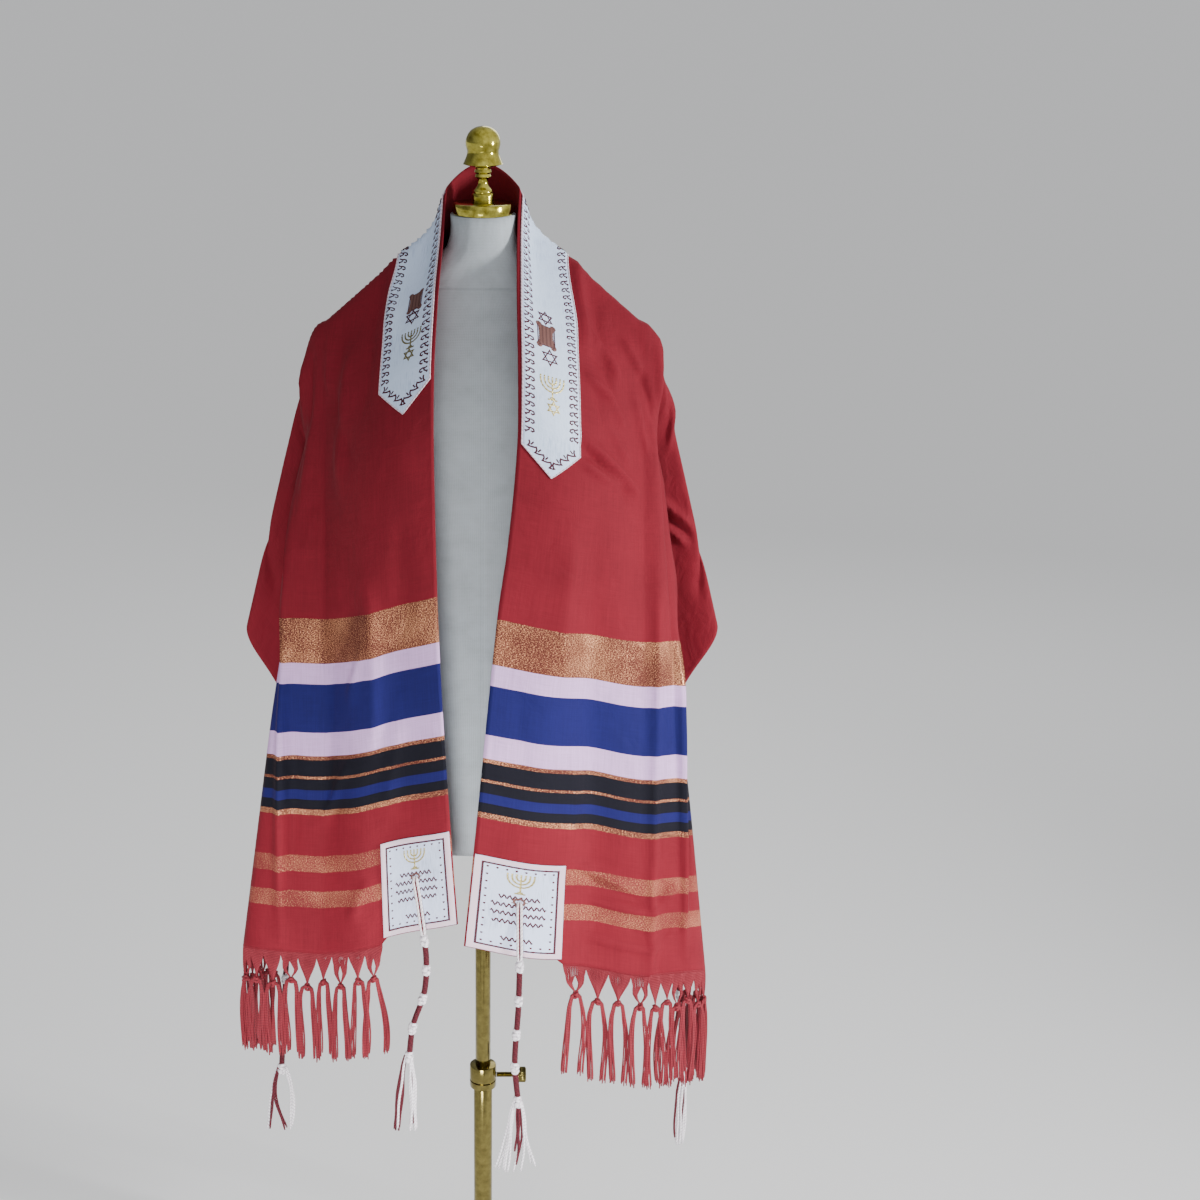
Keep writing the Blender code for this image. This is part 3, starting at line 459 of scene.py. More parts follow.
def back_point(name, u, v):
    if u <= NECK_U:
        fall = v
        point = nape_fall(collar_edge(u), fall, u * (1.0 + BACK_SPREAD / NECK_U))
    else:
        share = (u - NECK_U) / (TIP_U - NECK_U)
        fall = v - share * TIP_V
        near = nape_fall(collar_edge(NECK_U), fall, NECK_U + BACK_SPREAD)
        point = near.lerp(fan_point(SIDES[name], fall, 0.0), share) + ridge_bend(share, fall)
        point.y += BACK_BELLY * smooth(fall / BELLY_START) * math.sin(math.pi * share)
    point.y += flutes(BACK_FLUTES, u, fall)
    return point


def hang(name, u, v):
    """Where the place (u, v) of one half of the sheet hangs."""
    side = SIDES[name]
    if u > TIP_U and v > TIP_V:
        along, across = u - TIP_U, v - TIP_V
        point = fan_point(side, math.hypot(along, across), math.degrees(math.atan2(along, across)))
    elif u > mix(NECK_U, TIP_U, v / TIP_V) and v <= TIP_V:
        point = front_point(name, u, v)
    else:
        point = back_point(name, u, v)
    return Vector((point.x * side["sign"], point.y, point.z))


def crease_depth(name, u, v):
    """How far the creases push the cloth out at a place on the sheet."""
    depth = 0.0
    for u_from, v_from, u_to, v_to, width, size in CREASES[name]:
        run_u, run_v = u_to - u_from, v_to - v_from
        reach = 2.2 * width
        if not (min(u_from, u_to) - reach < u < max(u_from, u_to) + reach
                and min(v_from, v_to) - reach < v < max(v_from, v_to) + reach):
            continue
        share = ((u - u_from) * run_u + (v - v_from) * run_v) / (run_u * run_u + run_v * run_v)
        share = min(max(share, 0.0), 1.0)
        # A slight bow, so that no crease is quite straight.
        bow = 0.35 * width * math.sin(5.0 * share + 40.0 * u_from)
        off = math.hypot(u - u_from - run_u * share, v - v_from - run_v * share + bow)
        fade = smooth(3.2 * share) * smooth(3.2 * (1.0 - share))
        gain = RIDGE_GAIN if size > 0.0 else TROUGH_GAIN
        depth += gain * size * fade * math.exp(-((off / width) ** 1.5))
    return depth


def hang_normal(name, u, v):
    """The way the sheet's outer face looks there."""
    step = 0.004
    low_u, high_u = max(u - step, 0.0), min(u + step, SIDES[name]["half"])
    low_v, high_v = max(v - step, 0.0), min(v + step, SHEET_WIDTH)
    along = hang(name, high_u, v) - hang(name, low_u, v)
    across = hang(name, u, high_v) - hang(name, u, low_v)
    return along.cross(across).normalized() * SIDES[name]["sign"]


def creased(name, u, v, lift=0.0):
    """A place on the sheet with its creases, moved out by lift."""
    return hang(name, u, v) + hang_normal(name, u, v) * (crease_depth(name, u, v) + lift)


# ---- finishes ----


def from_hex(code):
    """An sRGB hex colour as linear RGBA."""
    parts = [int(code[index:index + 2], 16) / 255.0 for index in (0, 2, 4)]
    linear = [part / 12.92 if part <= 0.04045 else ((part + 0.055) / 1.055) ** 2.4 for part in parts]
    return (*linear, 1.0)


def grey(value):
    return (value, value, value, 1.0)


def add_node(finish, kind, inputs, output=0, **settings):
    """Adds a node and gives one of its outputs; an input is a constant or another's output."""
    node = finish.node_tree.nodes.new("ShaderNode" + kind)
    for name, value in settings.items():
        setattr(node, name, value)
    for socket, value in inputs.items():
        if isinstance(value, bpy.types.NodeSocket):
            finish.node_tree.links.new(value, node.inputs[socket])
        else:
            node.inputs[socket].default_value = value
    return node.outputs[output]


def maths(finish, operation, *values):
    return add_node(finish, "Math", dict(enumerate(values)), operation=operation)


def stretched(finish, place, scale):
    return add_node(finish, "Mapping", {"Vector": place, "Scale": scale})


def noise(finish, place, scale, detail, roughness=0.5, distortion=0.0):
    return add_node(finish, "TexNoise", {
        "Vector": place, "Scale": scale, "Detail": detail, "Roughness": roughness, "Distortion": distortion,
    }, "Fac")


# The scales at which a wave texture gives one line a metre, upright and slanted.
BANDS = 0.314
SLANTED_BANDS = 0.222


def lines(finish, place, scale, direction, distortion, detail=2.0, detail_scale=1.0):
    return add_node(finish, "TexWave", {
        "Vector": place, "Scale": scale, "Distortion": distortion,
        "Detail": detail, "Detail Scale": detail_scale,
    }, "Fac", bands_direction=direction)


def weave(finish, place, spacing, operation, *uneven):
    """Yarns both ways, spacing metres apart."""
    warp, weft = [lines(finish, place, BANDS / spacing, direction, *uneven) for direction in "XY"]
    return maths(finish, operation, warp, weft)


def ranged(finish, value, low, high, from_low=0.0, from_high=1.0):
    return add_node(finish, "MapRange", {
        "Value": value, "From Min": from_low, "From Max": from_high, "To Min": low, "To Max": high,
    })


def ramp(finish, share, stops, interpolation="LINEAR"):
    """A colour ramp with its stops as (position, colour)."""
    output = add_node(finish, "ValToRGB", {"Fac": share})
    colours = output.node.color_ramp
    colours.interpolation = interpolation
    while len(colours.elements) > 1:
        colours.elements.remove(colours.elements[-1])
    colours.elements[0].position, colours.elements[0].color = stops[0]
    for position, colour in stops[1:]:
        colours.elements.new(position).color = colour
    return output


def bump(finish, height, strength, distance, under=None):
    below = {"Normal": under} if under else {}
    return add_node(finish, "Bump", {"Height": height, "Strength": strength, "Distance": distance, **below})


def new_finish(name, uv_map=None, **values):
    """A material with its shader's constant values set, its shader and the place on its UV map."""
    finish = bpy.data.materials.new(name)
    finish.use_nodes = True
    shader = finish.node_tree.nodes["Principled BSDF"]
    for socket, value in values.items():
        shader.inputs[socket.replace("_", " ")].default_value = value
    place = add_node(finish, "UVMap", {}, uv_map=uv_map) if uv_map else None
    return finish, shader, place


def join(finish, shader, inputs):
    for socket, output in inputs.items():
        finish.node_tree.links.new(output, shader.inputs[socket])
    return finish


# Distances up from each end of the sheet where each woven stripe begins.
STRIPES = [
    (0.0, "red"), (0.0555, "copper"), (0.0745, "red"), (0.097, "copper"), (0.117, "red"),
    (0.1671, "gold"), (0.1731, "black"), (0.1852, "blue"), (0.1961, "black"), (0.2095, "gold"),
    (0.2117, "black"), (0.2325, "gold"), (0.2378, "white"), (0.265, "blue"), (0.322, "white"),
    (0.3473, "gold"), (0.399, "red"),
]
YARNS = {
    "red": "761926", "gold": "5A2822", "copper": "762A2C",
    "white": "CCA6D6", "blue": "1A1A58", "black": "12121C",
}
LUREX = {"gold": 1.0, "copper": 0.55}  # how much of each stripe is metal yarn
STRIPE_SPAN = 0.42
# From yarn to yarn as drawn; the real ones, about 0.4 mm thick, would be too fine to show.
WOOL_STEP = 0.0011
SATIN_STEP = 0.0009
LINEN_STEP = 0.0016
TURNING_STEP = 0.0015  # between the marks that the lathe leaves


def woven_cloth():
    """Woven wool and viscose: matt with a faint nap, its lurex stripes glint in points."""
    finish, shader, place = new_finish(
        "woven_wool_and_viscose", "Cloth", Sheen_Weight=0.05, Sheen_Roughness=0.4,
        Sheen_Tint=from_hex("E8A8A8"), Specular_IOR_Level=0.15,
    )
    parts = add_node(finish, "SeparateXYZ", {"Vector": place}).node.outputs
    half = SHEET_LENGTH / 2
    from_end = ranged(finish, maths(finish, "ABSOLUTE", parts["X"]), 0.0, 1.0, half, half - STRIPE_SPAN)
    stripes, lurex = [
        ramp(finish, from_end, [(start / STRIPE_SPAN, value[yarn]) for start, yarn in STRIPES], "CONSTANT")
        for value in (
            {yarn: from_hex(code) for yarn, code in YARNS.items()},
            {yarn: grey(LUREX.get(yarn, 0.0)) for yarn in YARNS},
        )
    ]
    grid = weave(finish, place, WOOL_STEP, "MULTIPLY", 0.6, 1.0, 2.0)
    # Slubs: thick stretches of yarn 1 mm high and a few cm long, across the sheet.
    slubs = noise(finish, stretched(finish, place, (900.0, 30.0, 1.0)), 1.0, 3.0, 0.6)
    upright = noise(finish, stretched(finish, place, (22.0, 700.0, 1.0)), 1.0, 2.0)
    patchy = noise(finish, place, 16.0, 4.0, 0.55)
    shade = maths(finish, "ADD", maths(finish, "ADD", slubs, upright), patchy)
    brightness = ranged(finish, shade, 0.82, 1.18, 1.0, 2.0)
    shaded = add_node(finish, "VectorMath", {0: stripes, "Scale": brightness}, operation="SCALE")
    # Lurex glints: bright specks about 1 mm across in the gold stripes.
    specks = noise(finish, stretched(finish, place, (1050.0, 640.0, 1.0)), 1.0, 2.0, 0.7)
    specks = maths(finish, "MULTIPLY_ADD", patchy, 0.30, specks)
    glints = maths(finish, "MULTIPLY", ranged(finish, specks, 0.0, 1.0, 0.65, 0.78), lurex)
    # The colour inputs of this node are its sockets 6 and 7, and its colour output is 2.
    colour = add_node(finish, "Mix", {0: glints, 6: shaded, 7: from_hex("E0A074")}, 2, data_type="RGBA")
    # Along the upper edge a 4 mm hem is turned over and stitched.
    hem = ranged(finish, parts["Y"], 1.0, 0.0, 0.0036, 0.0044)
    height = maths(finish, "MULTIPLY_ADD", hem, 1.5, maths(finish, "ADD", slubs, grid))
    # Small soft crumples, a few centimetres across, over the weave.
    crumpled = noise(finish, place, 26.0, 3.0, 0.5, 0.8)
    return join(finish, shader, {
        "Base Color": colour,
        "Roughness": ranged(finish, glints, 0.78, 0.28),
        "Metallic": maths(finish, "MULTIPLY", glints, 0.7),
        "Normal": bump(finish, crumpled, 0.5, 0.004, bump(finish, height, 0.3, 0.0006)),
    })


def satin(name, colour, shadow, check=0.0):
    """Woven satin: long floats of yarn give a soft, lengthwise gleam, partly from lower roughness and partly
    as painted highlight streaks in the colour; the hollows of its soft wrinkles are painted darker, as
    painted shade.
    """
    finish, shader, place = new_finish(
        name, "Cloth", Sheen_Weight=0.12, Sheen_Roughness=0.35, Specular_IOR_Level=0.5,
    )
    grid = weave(finish, place, SATIN_STEP, "MULTIPLY", 0.4)
    floats = noise(finish, stretched(finish, place, (60.0, 900.0, 1.0)), 1.0, 2.0)
    wrinkles_and_painted_shade = noise(finish, place, 22.0, 4.0, 0.6)
    # The colour runs from the shadow colour to the bright one: painted shade in the wrinkles' hollows and
    # painted highlight along the floats, besides the checks where there are any.
    shade = maths(finish, "MULTIPLY_ADD", grid, check, maths(finish, "ADD", floats, wrinkles_and_painted_shade))
    return join(finish, shader, {
        "Base Color": ramp(finish, shade, [(0.55, from_hex(shadow)), (0.95, from_hex(colour))]),
        "Roughness": ranged(finish, floats, 0.55, 0.38),
        "Normal": bump(finish, wrinkles_and_painted_shade, 0.7, 0.0040, bump(finish, grid, 0.25, 0.0004)),
    })


def spun_thread(name, colour, shadow, roughness, metallic=0.0, twist=0.0016, nap=0.04):
    """Spun thread: slanting ply lines, with painted highlight on each ply's crown and painted shade between
    plies.
    """
    finish, shader, place = new_finish(
        name, "Thread", Roughness=roughness, Metallic=metallic, Sheen_Weight=nap, Specular_IOR_Level=0.25,
    )
    ply = lines(
        finish, stretched(finish, place, (1.0, twist * 2.0, 1.0)), SLANTED_BANDS / twist, "DIAGONAL", 0.3,
    )
    # The ply lines set the colour too: painted shade towards the shadow colour between plies, painted
    # highlight on the crowns.
    shade = maths(finish, "ADD", ply, noise(finish, place, 160.0, 2.0))
    return join(finish, shader, {
        "Base Color": ramp(finish, shade, [(0.35, from_hex(shadow)), (1.0, from_hex(colour))]),
        "Normal": bump(finish, ply, 0.5, 0.0003),
    })


def linen():
    """Plain-woven linen glued over the form: matt, with uneven yarns that make a fine grid."""
    finish, shader, place = new_finish(
        "plain_woven_linen", "Cloth", Roughness=0.86, Sheen_Weight=0.08, Specular_IOR_Level=0.25,
    )
    grid = weave(finish, place, LINEN_STEP, "ADD", 1.6, 2.0, 0.6)
    shade = maths(finish, "MULTIPLY_ADD", grid, 0.22, noise(finish, place, 40.0, 5.0, 0.65))
    stops = [(0.25, from_hex("9CA2A6")), (0.60, from_hex("B2BABF")), (0.95, from_hex("BEC6CC"))]
    return join(finish, shader, {
        "Base Color": ramp(finish, shade, stops),
        "Normal": bump(finish, grid, 0.35, 0.0005),
    })


def brass(name, dull_colour, bright_colour):
    """Polished brass: sharp warm reflections, dulled a little by handling."""
    finish, shader, _ = new_finish(name, Metallic=1.0)
    place = add_node(finish, "TexCoord", {}, "Object")
    dull = noise(finish, place, 130.0, 4.0, 0.6)
    rings = lines(finish, place, BANDS / TURNING_STEP, "Z", 0.2)
    return join(finish, shader, {
        "Base Color": ramp(finish, dull, [(0.30, from_hex(dull_colour)), (0.70, from_hex(bright_colour))]),
        "Roughness": ranged(finish, dull, 0.20, 0.06),
        "Normal": bump(finish, rings, 0.04, 0.0002),
    })


def painted_floor():
    """Matt white paint, so that the floor gives only soft light back."""
    return new_finish(
        "painted_floor", Base_Color=from_hex("FAFAFA"), Roughness=0.9, Specular_IOR_Level=0.2,
    )[0]


# ---- making pieces ----


def place_piece(piece, finish, node):
    """The piece's finish, body, slot and the solid that it stands for."""
    piece.data.materials.clear()
    piece.data.materials.append(finish)
    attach(piece, "root")
    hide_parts(node)
    return piece


def mesh_piece(name, points, faces, uvs, uv_name):
    """A smooth piece from its points and faces, and one UV pair a point."""
    mesh = bpy.data.meshes.new(name)
    mesh.from_pydata([tuple(point) for point in points], [], faces)
    layer = mesh.uv_layers.new(name=uv_name)
    for loop in mesh.loops:
        layer.data[loop.index].uv = uvs[loop.vertex_index]
    mesh.shade_smooth()
    piece = bpy.data.objects.new(name, mesh)
    bpy.context.scene.collection.objects.link(piece)
    return piece


def weld(piece, distance):
    """Merges the points where two halves or the ends of a round meet."""
    bm = bmesh.new()
    bm.from_mesh(piece.data)
    bmesh.ops.remove_doubles(bm, verts=bm.verts, dist=distance)
    bm.to_mesh(piece.data)
    bm.free()


def grid_faces(rows, columns):
    return [
        (first, first + 1, first + columns + 1, first + columns)
        for row in range(rows - 1) for first in range(row * columns, row * columns + columns - 1)
    ]


def even_steps(low, high, most):
    """Stations from low to high, no further apart than most."""
    return [mix(low, high, share) for share in shares(max(1, math.ceil((high - low) / most)))]


def both_halves(reach, most):
    """(side, u) from the far end of the left half, round the nape, to the right end."""
    left = [("left", u) for u in reversed(even_steps(0.0, reach["left"], most))]
    return left + [("right", u) for u in even_steps(0.0, reach["right"], most)[1:]]


def laid_sheet(name, rows, lift, wall):
    """A sheet over rows of places (side, u, v), moved out by lift, with its wall."""
    points = [creased(*place, lift) for row in rows for place in row]
    # Metres along the sheet from its middle, and across it.
    uvs = [(SIDES[side]["sign"] * u - SHEET_PULL, v) for row in rows for side, u, v in row]
    piece = mesh_piece(name, points, grid_faces(len(rows), len(rows[0])), uvs, "Cloth")
    weld(piece, 0.00005)
    bpy.ops.object.select_all(action="DESELECT")
    piece.select_set(True)
    bpy.context.view_layer.objects.active = piece
    solidify = piece.modifiers.new("Wall", "SOLIDIFY")
    solidify.thickness = wall
    solidify.offset = 0.0
    bpy.ops.object.modifier_apply(modifier=solidify.name)
    return piece


def tubes(name, paths, sides):
    """Round threads in one mesh; each path is a list of (point, radius)."""
    points, faces, uvs = [], [], []
    for number, path in enumerate(paths):
        first, last = len(points), len(path) - 1
        side = None
        run = 0.0371 * number  # so that neighbours' ply lines differ
        for index, (point, radius) in enumerate(path):
            ahead = path[min(index + 1, last)][0] - path[max(index - 1, 0)][0]
            if ahead.length < 1e-9:
                ahead = Vector((0.0, 0.0, -1.0))
            ahead.normalize()
            if side is None:
                side = ahead.orthogonal().normalized()
            else:
                run += (point - path[index - 1][0]).length
                side = (side - ahead * side.dot(ahead)).normalized()
            other = ahead.cross(side)
            for corner in range(sides):
                turn = 2.0 * math.pi * corner / sides
                points.append(point + (side * math.cos(turn) + other * math.sin(turn)) * radius)
                uvs.append((run, corner / sides))
        for row in range(first, first + last * sides, sides):
            for corner in range(sides):
                after = (corner + 1) % sides
                faces.append((row + corner, row + after, row + sides + after, row + sides + corner))
        faces.append(tuple(first + corner for corner in reversed(range(sides))))
        faces.append(tuple(first + last * sides + corner for corner in range(sides)))
    return mesh_piece(name, points, faces, uvs, "Thread")


def ring_path(middle, radius, thread, tilt, heading, steps):
    """One closed turn of thread round a cord, tilted; its ends overlap."""
    path = []
    for share in shares(steps):
        turn = 2.0 * math.pi * share
        aside = Vector((math.cos(turn), math.sin(turn), tilt * math.cos(turn - heading)))
        path.append((middle + aside * radius, thread))
    return path


def wound_path(line, start, end, steps=9):
    """Thread wound round a cord from one fall to another; line(fall) is the cord's middle."""
    count = max(2, int((end - start) / WIND_PITCH * steps))
    path = []
    for share in shares(count):
        turn = 2.0 * math.pi * share * count / steps
        aside = Vector((math.cos(turn), math.sin(turn), 0.0))
        path.append((line(mix(start, end, share)) + aside * WIND_RADIUS, WIND_THREAD))
    return path


# ---- stitched lines ----


def stitched(name, strokes, lift, proud, finish, node):
    """Lines of stitching that lie on the cloth.

    A stroke is (where, places, width, closed): where turns its flat places, in metres,
    into (side, u, v).  Its edges are just sunk and its middle stands proud.
    """
    points, faces, uvs = [], [], []
    for where, places, width, closed in strokes:
        first, count, run = len(points), len(places), 0.0
        for index, (x, y) in enumerate(places):
            before = places[index - 1] if index or closed else (x, y)
            after = places[(index + 1) % count] if index + 1 < count or closed else (x, y)
            in_x, in_y = x - before[0], y - before[1]
            out_x, out_y = after[0] - x, after[1] - y
            in_size, out_size = math.hypot(in_x, in_y) or 1.0, math.hypot(out_x, out_y) or 1.0
            way_x = in_x / in_size + out_x / out_size
            way_y = in_y / in_size + out_y / out_size
            size = math.hypot(way_x, way_y) or 1.0
            mitre = 1.0 / max(0.55, size / 2.0 if in_size != 1.0 and out_size != 1.0 else 1.0)
            run += in_size if index else 0.0
            for share, height in ((-0.5, -STITCH_SUNK), (0.0, proud), (0.5, -STITCH_SUNK)):
                off = share * width * mitre
                points.append(creased(*where(x - way_y / size * off, y + way_x / size * off), lift + height))
                uvs.append((run, share + 0.5))
        for index in range(count if closed else count - 1):
            row, after = first + index * 3, first + (index + 1) % count * 3
            faces += [(row, row + 1, after + 1, after), (row + 1, row + 2, after + 2, after + 1)]
    piece = mesh_piece(name, points, faces, uvs, "Thread")
    # Each face looks away from the form's axis.
    for face in piece.data.polygons:
        if face.normal.x * face.center.x + face.normal.y * face.center.y < 0.0:
            face.flip()
    return place_piece(piece, finish, node)


def facing(name, u_middle, v_middle):
    """Flat places drawn upright round a place: x to the viewer's right, y up."""
    sign = SIDES[name]["sign"]
    return lambda x, y: (name, u_middle - y, v_middle + sign * x)


def arc(middle_x, middle_y, radius, start, end, steps):
    turns = [math.radians(mix(start, end, share)) for share in shares(steps)]
    return [(middle_x + radius * math.cos(turn), middle_y + radius * math.sin(turn)) for turn in turns]


def rectangle(half_wide, half_tall, step=0.006):
    """A closed outline with points all along it, so that it follows the folds."""
    corners = [(x * half_wide, y * half_tall) for x, y in ((-1, -1), (1, -1), (1, 1), (-1, 1))]
    places = []
    for (x, y), (next_x, next_y) in zip(corners, corners[1:] + corners[:1]):
        count = max(1, round(math.hypot(next_x - x, next_y - y) / step))
        places += [(mix(x, next_x, share / count), mix(y, next_y, share / count)) for share in range(count)]
    return places


# The figures are lists of (places, closed).
def star_lines(width, height):
    """Two outlined triangles."""
    return [(arc(0.0, 0.0, width / 2.0, turn, turn + 240.0, 2), True) for turn in (90.0, 270.0)]


def frame_lines(width, height):
    return [(rectangle(width / 2.0, height * 0.42, 0.005), True)]


def lamp_lines(width, height):
    """A seven-branched lamp: three nested arcs on a stem, a stepped foot and a flame a branch."""
    top = height * 0.34
    figure = [[(0.0, -height * 0.5), (0.0, -height * 0.2), (0.0, top)]]
    for index in (1, 2, 3):
        bend = arc(0.0, top - height * 0.02, width / 2.0 * index / 3.0, 180.0, 360.0, 10)
        figure.append([(x, max(y, -height * 0.36)) for x, y in bend])
    for index in range(-3, 4):
        out = width / 2.0 * index / 3.0
        figure.append([(out - width * 0.035, top), (out + width * 0.035, top)])
        figure.append([(out, top + height * 0.05), (out + width * 0.01, top + height * 0.14)])
    for reach, down in ((0.20, 0.5), (0.10, 0.43)):
        figure.append([(-width * reach, -height * down), (width * reach, -height * down)])
    return [(places, False) for places in figure]


def scroll_lines(width, height):
    """A closely stitched parchment scroll between two rollers with knobs."""
    half, tall = width / 2.0, height / 2.0
    figure = []
    for share in shares(round(1.5 * height / SCROLL_ROWS)):
        y = mix(-0.75, 0.75, share) * tall
        figure.append(([(-half * 0.92, y + 0.0012), (0.0, y), (half * 0.92, y + 0.0012)], False))
    for way in (-1.0, 1.0):
        figure.append(([(way * half, -tall), (way * half, tall)], False))
        for end in (1.0, -1.0):
            figure.append((arc(way * half, end * tall * 0.86, width * 0.12, 0.0, 360.0, 8)[:-1], True))
    return figure


def strokes_of(figure, where, width):
    return [(where, places, width, closed) for places, closed in figure]


# ---- the shawl ----


def sheet_end(name, u, v):
    """Between the patches the cloth runs on to where its own threads hang free."""
    fringed = smooth((min(v, SHEET_WIDTH - v) - FRINGE_FROM + 0.004) / 0.004)
    near_end = smooth((u - SHEET_END[name] + 0.030) / 0.030)
    return u + (SIDES[name]["half"] - SHEET_END[name]) * fringed * near_end


def make_sheet(finish):
    """The fine sheet: one continuous surface with its creases and a thin wall."""
    most = SHEET_STEP
    across = even_steps(0.0, SHEET_WIDTH, most)
    rows = [[(name, sheet_end(name, u, v), v) for v in across] for name, u in both_halves(SHEET_END, most)]
    return place_piece(laid_sheet("shawl_sheet", rows, 0.0, SHEET_WALL), finish, "shawl_cloth")


def band_edge(name):
    """The outline of one half of the band from the nape's upper edge round its point."""
    low, high = BAND_INSET, BAND_INSET + BAND_WIDTH
    shoulder, tip = BAND_SHOULDER[name], BAND_REACH[name]
    stations = even_steps(0.0, shoulder, PIPING_STEP)
    places = [(u, low) for u in stations]
    for u_from, u_to, v_from, v_to in ((shoulder, tip, low, BAND_MIDDLE), (tip, shoulder, BAND_MIDDLE, high)):
        places += [(mix(u_from, u_to, share), mix(v_from, v_to, share)) for share in shares(6)[1:]]
    return places + [(u, high) for u in reversed(stations[:-1])]


def make_band(finish):
    across = even_steps(BAND_INSET, BAND_INSET + BAND_WIDTH, BAND_STEP_ACROSS)
    points = [BAND_POINT * (1.0 - abs(v - BAND_MIDDLE) / (BAND_WIDTH / 2)) for v in across]
    rows = [[(name, u, v) for v in across] for name, u in both_halves(BAND_SHOULDER, BAND_STEP)]
    for name, shoulder in BAND_SHOULDER.items():
        tip = [
            [(name, shoulder + point * share, v) for v, point in zip(across, points)]
            for share in shares(8)[1:]
        ]
        rows = tip[::-1] + rows if name == "left" else rows + tip
    band = laid_sheet("neckband_satin", rows, BAND_LIFT, BAND_WALL)
    return place_piece(band, finish, "neckband")


def make_band_piping(finish):
    """A thin corded edge all the way round the band."""
    outline = [("right", *place) for place in band_edge("right")]
    outline += [("left", *place) for place in reversed(band_edge("left")[1:-1])]
    path = [(creased(*place, BAND_LIFT + 0.0002), PIPING_RADIUS) for place in outline + outline[:1]]
    return place_piece(tubes("neckband_piping", [path], 6), finish, "neckband")


def hook(where_u, where_v, name, way):
    """One repeat of the border: a hooked stem and a spur."""
    stem = [
        (-0.42, -0.50), (-0.26, -0.24), (-0.30, 0.12), (-0.16, 0.44), (0.10, 0.50), (0.24, 0.30),
        (0.12, 0.12),
    ]
    spur = [(-0.22, -0.04), (0.02, -0.10), (0.16, -0.30), (0.20, -0.50), (0.40, -0.42)]
    return [
        (lambda x, y: (name, where_u + x, where_v + way * y),
         [(HOOK_WIDE * x, REPEAT * y) for x, y in line], BORDER_WIDE, False)
        for line in (stem, spur)
    ]


def make_band_border(finish):
    """A curled repeat every 9 mm along both edges, and scallops round the points."""
    strokes = []
    for name in SIDES:
        start, end = BAND_SHOULDER[name] - SCALLOPS_START, BAND_REACH[name] - SCALLOPS_END
        for index in range(int((BAND_SHOULDER[name] - 0.004) / REPEAT)):
            u = REPEAT / 2 + REPEAT * index
            strokes += hook(u, BAND_INSET + BORDER_INSET, name, 1.0)
            strokes += hook(u, BAND_INSET + BAND_WIDTH - BORDER_INSET, name, -1.0)
        own = lambda x, y, name=name: (name, x, y)
        for way in (-1.0, 1.0):
            def from_edge(share, inset):
                """The place across the band, inset from its edge, a share of the way to the point."""
                return BAND_MIDDLE + way * max(mix(BAND_WIDTH / 2 + 0.003, 0.004, share) - inset, 0.0)

            scallops = []
            for share in shares(32):
                turn = math.pi * 4.0 * share
                u = mix(start, end, share) + 0.0030 * abs(math.sin(turn))
                scallops.append((u, from_edge(share, 0.0052 + 0.0050 * abs(math.cos(turn)))))
            strokes.append((own, scallops, 0.0021, False))
            for share in (0.125, 0.375, 0.625, 0.875):
                u, v = mix(start, end, share), from_edge(share, 0.0100)
                spur = [(u + 0.0014, v + way * 0.0016), (u - 0.0018, v - way * 0.0012)]
                strokes.append((own, spur, BORDER_WIDE, False))
    return stitched("neckband_border", strokes, BAND_TOP, 0.0004, finish, "neckband")


# Thread, side, u, v, figure, width, height.
BAND_MOTIFS = [
    ("copper", "left", 0.186, 0.03, "scroll", 0.014, 0.028),
    ("maroon", "left", 0.186, 0.03, "frame", 0.017, 0.028),
    ("maroon", "left", 0.208, 0.031, "star", 0.018, 0.0),
    ("olive", "left", 0.238, 0.03, "lamp", 0.024, 0.022),
    ("olive", "left", 0.257, 0.031, "star", 0.013, 0.0),
    ("maroon", "right", 0.21, 0.031, "star", 0.017, 0.0),
    ("copper", "right", 0.234, 0.031, "scroll", 0.016, 0.03),
    ("maroon", "right", 0.234, 0.031, "frame", 0.019, 0.03),
    ("maroon", "right", 0.26, 0.034, "star", 0.018, 0.0),
    ("gold", "right", 0.294, 0.036, "lamp", 0.026, 0.026),
    ("gold", "right", 0.316, 0.037, "star", 0.014, 0.0),
]
# What draws each figure, and its stitched width.
FIGURES = {
    "scroll": (scroll_lines, 0.0034), "frame": (frame_lines, 0.0015),
    "star": (star_lines, 0.0021), "lamp": (lamp_lines, 0.0021),
}


def make_band_motifs(thread, finish):
    strokes = []
    for own, name, u, v, figure, width, height in BAND_MOTIFS:
        if own == thread:
            draw, stitch = FIGURES[figure]
            strokes += strokes_of(draw(width, height), facing(name, u, v), stitch)
    title = "neckband_motifs_" + thread
    return stitched(title, strokes, BAND_TOP, 0.0005, finish, "neckband")


def patch_corner(name, edge):
    """The u and v ranges of a corner patch."""
    end = SHEET_END[name] - PATCH_INSET
    near = PATCH_INSET if edge == "upper" else SHEET_WIDTH - PATCH_INSET - PATCH_WIDE
    return (end - PATCH_TALL, end), (near, near + PATCH_WIDE)


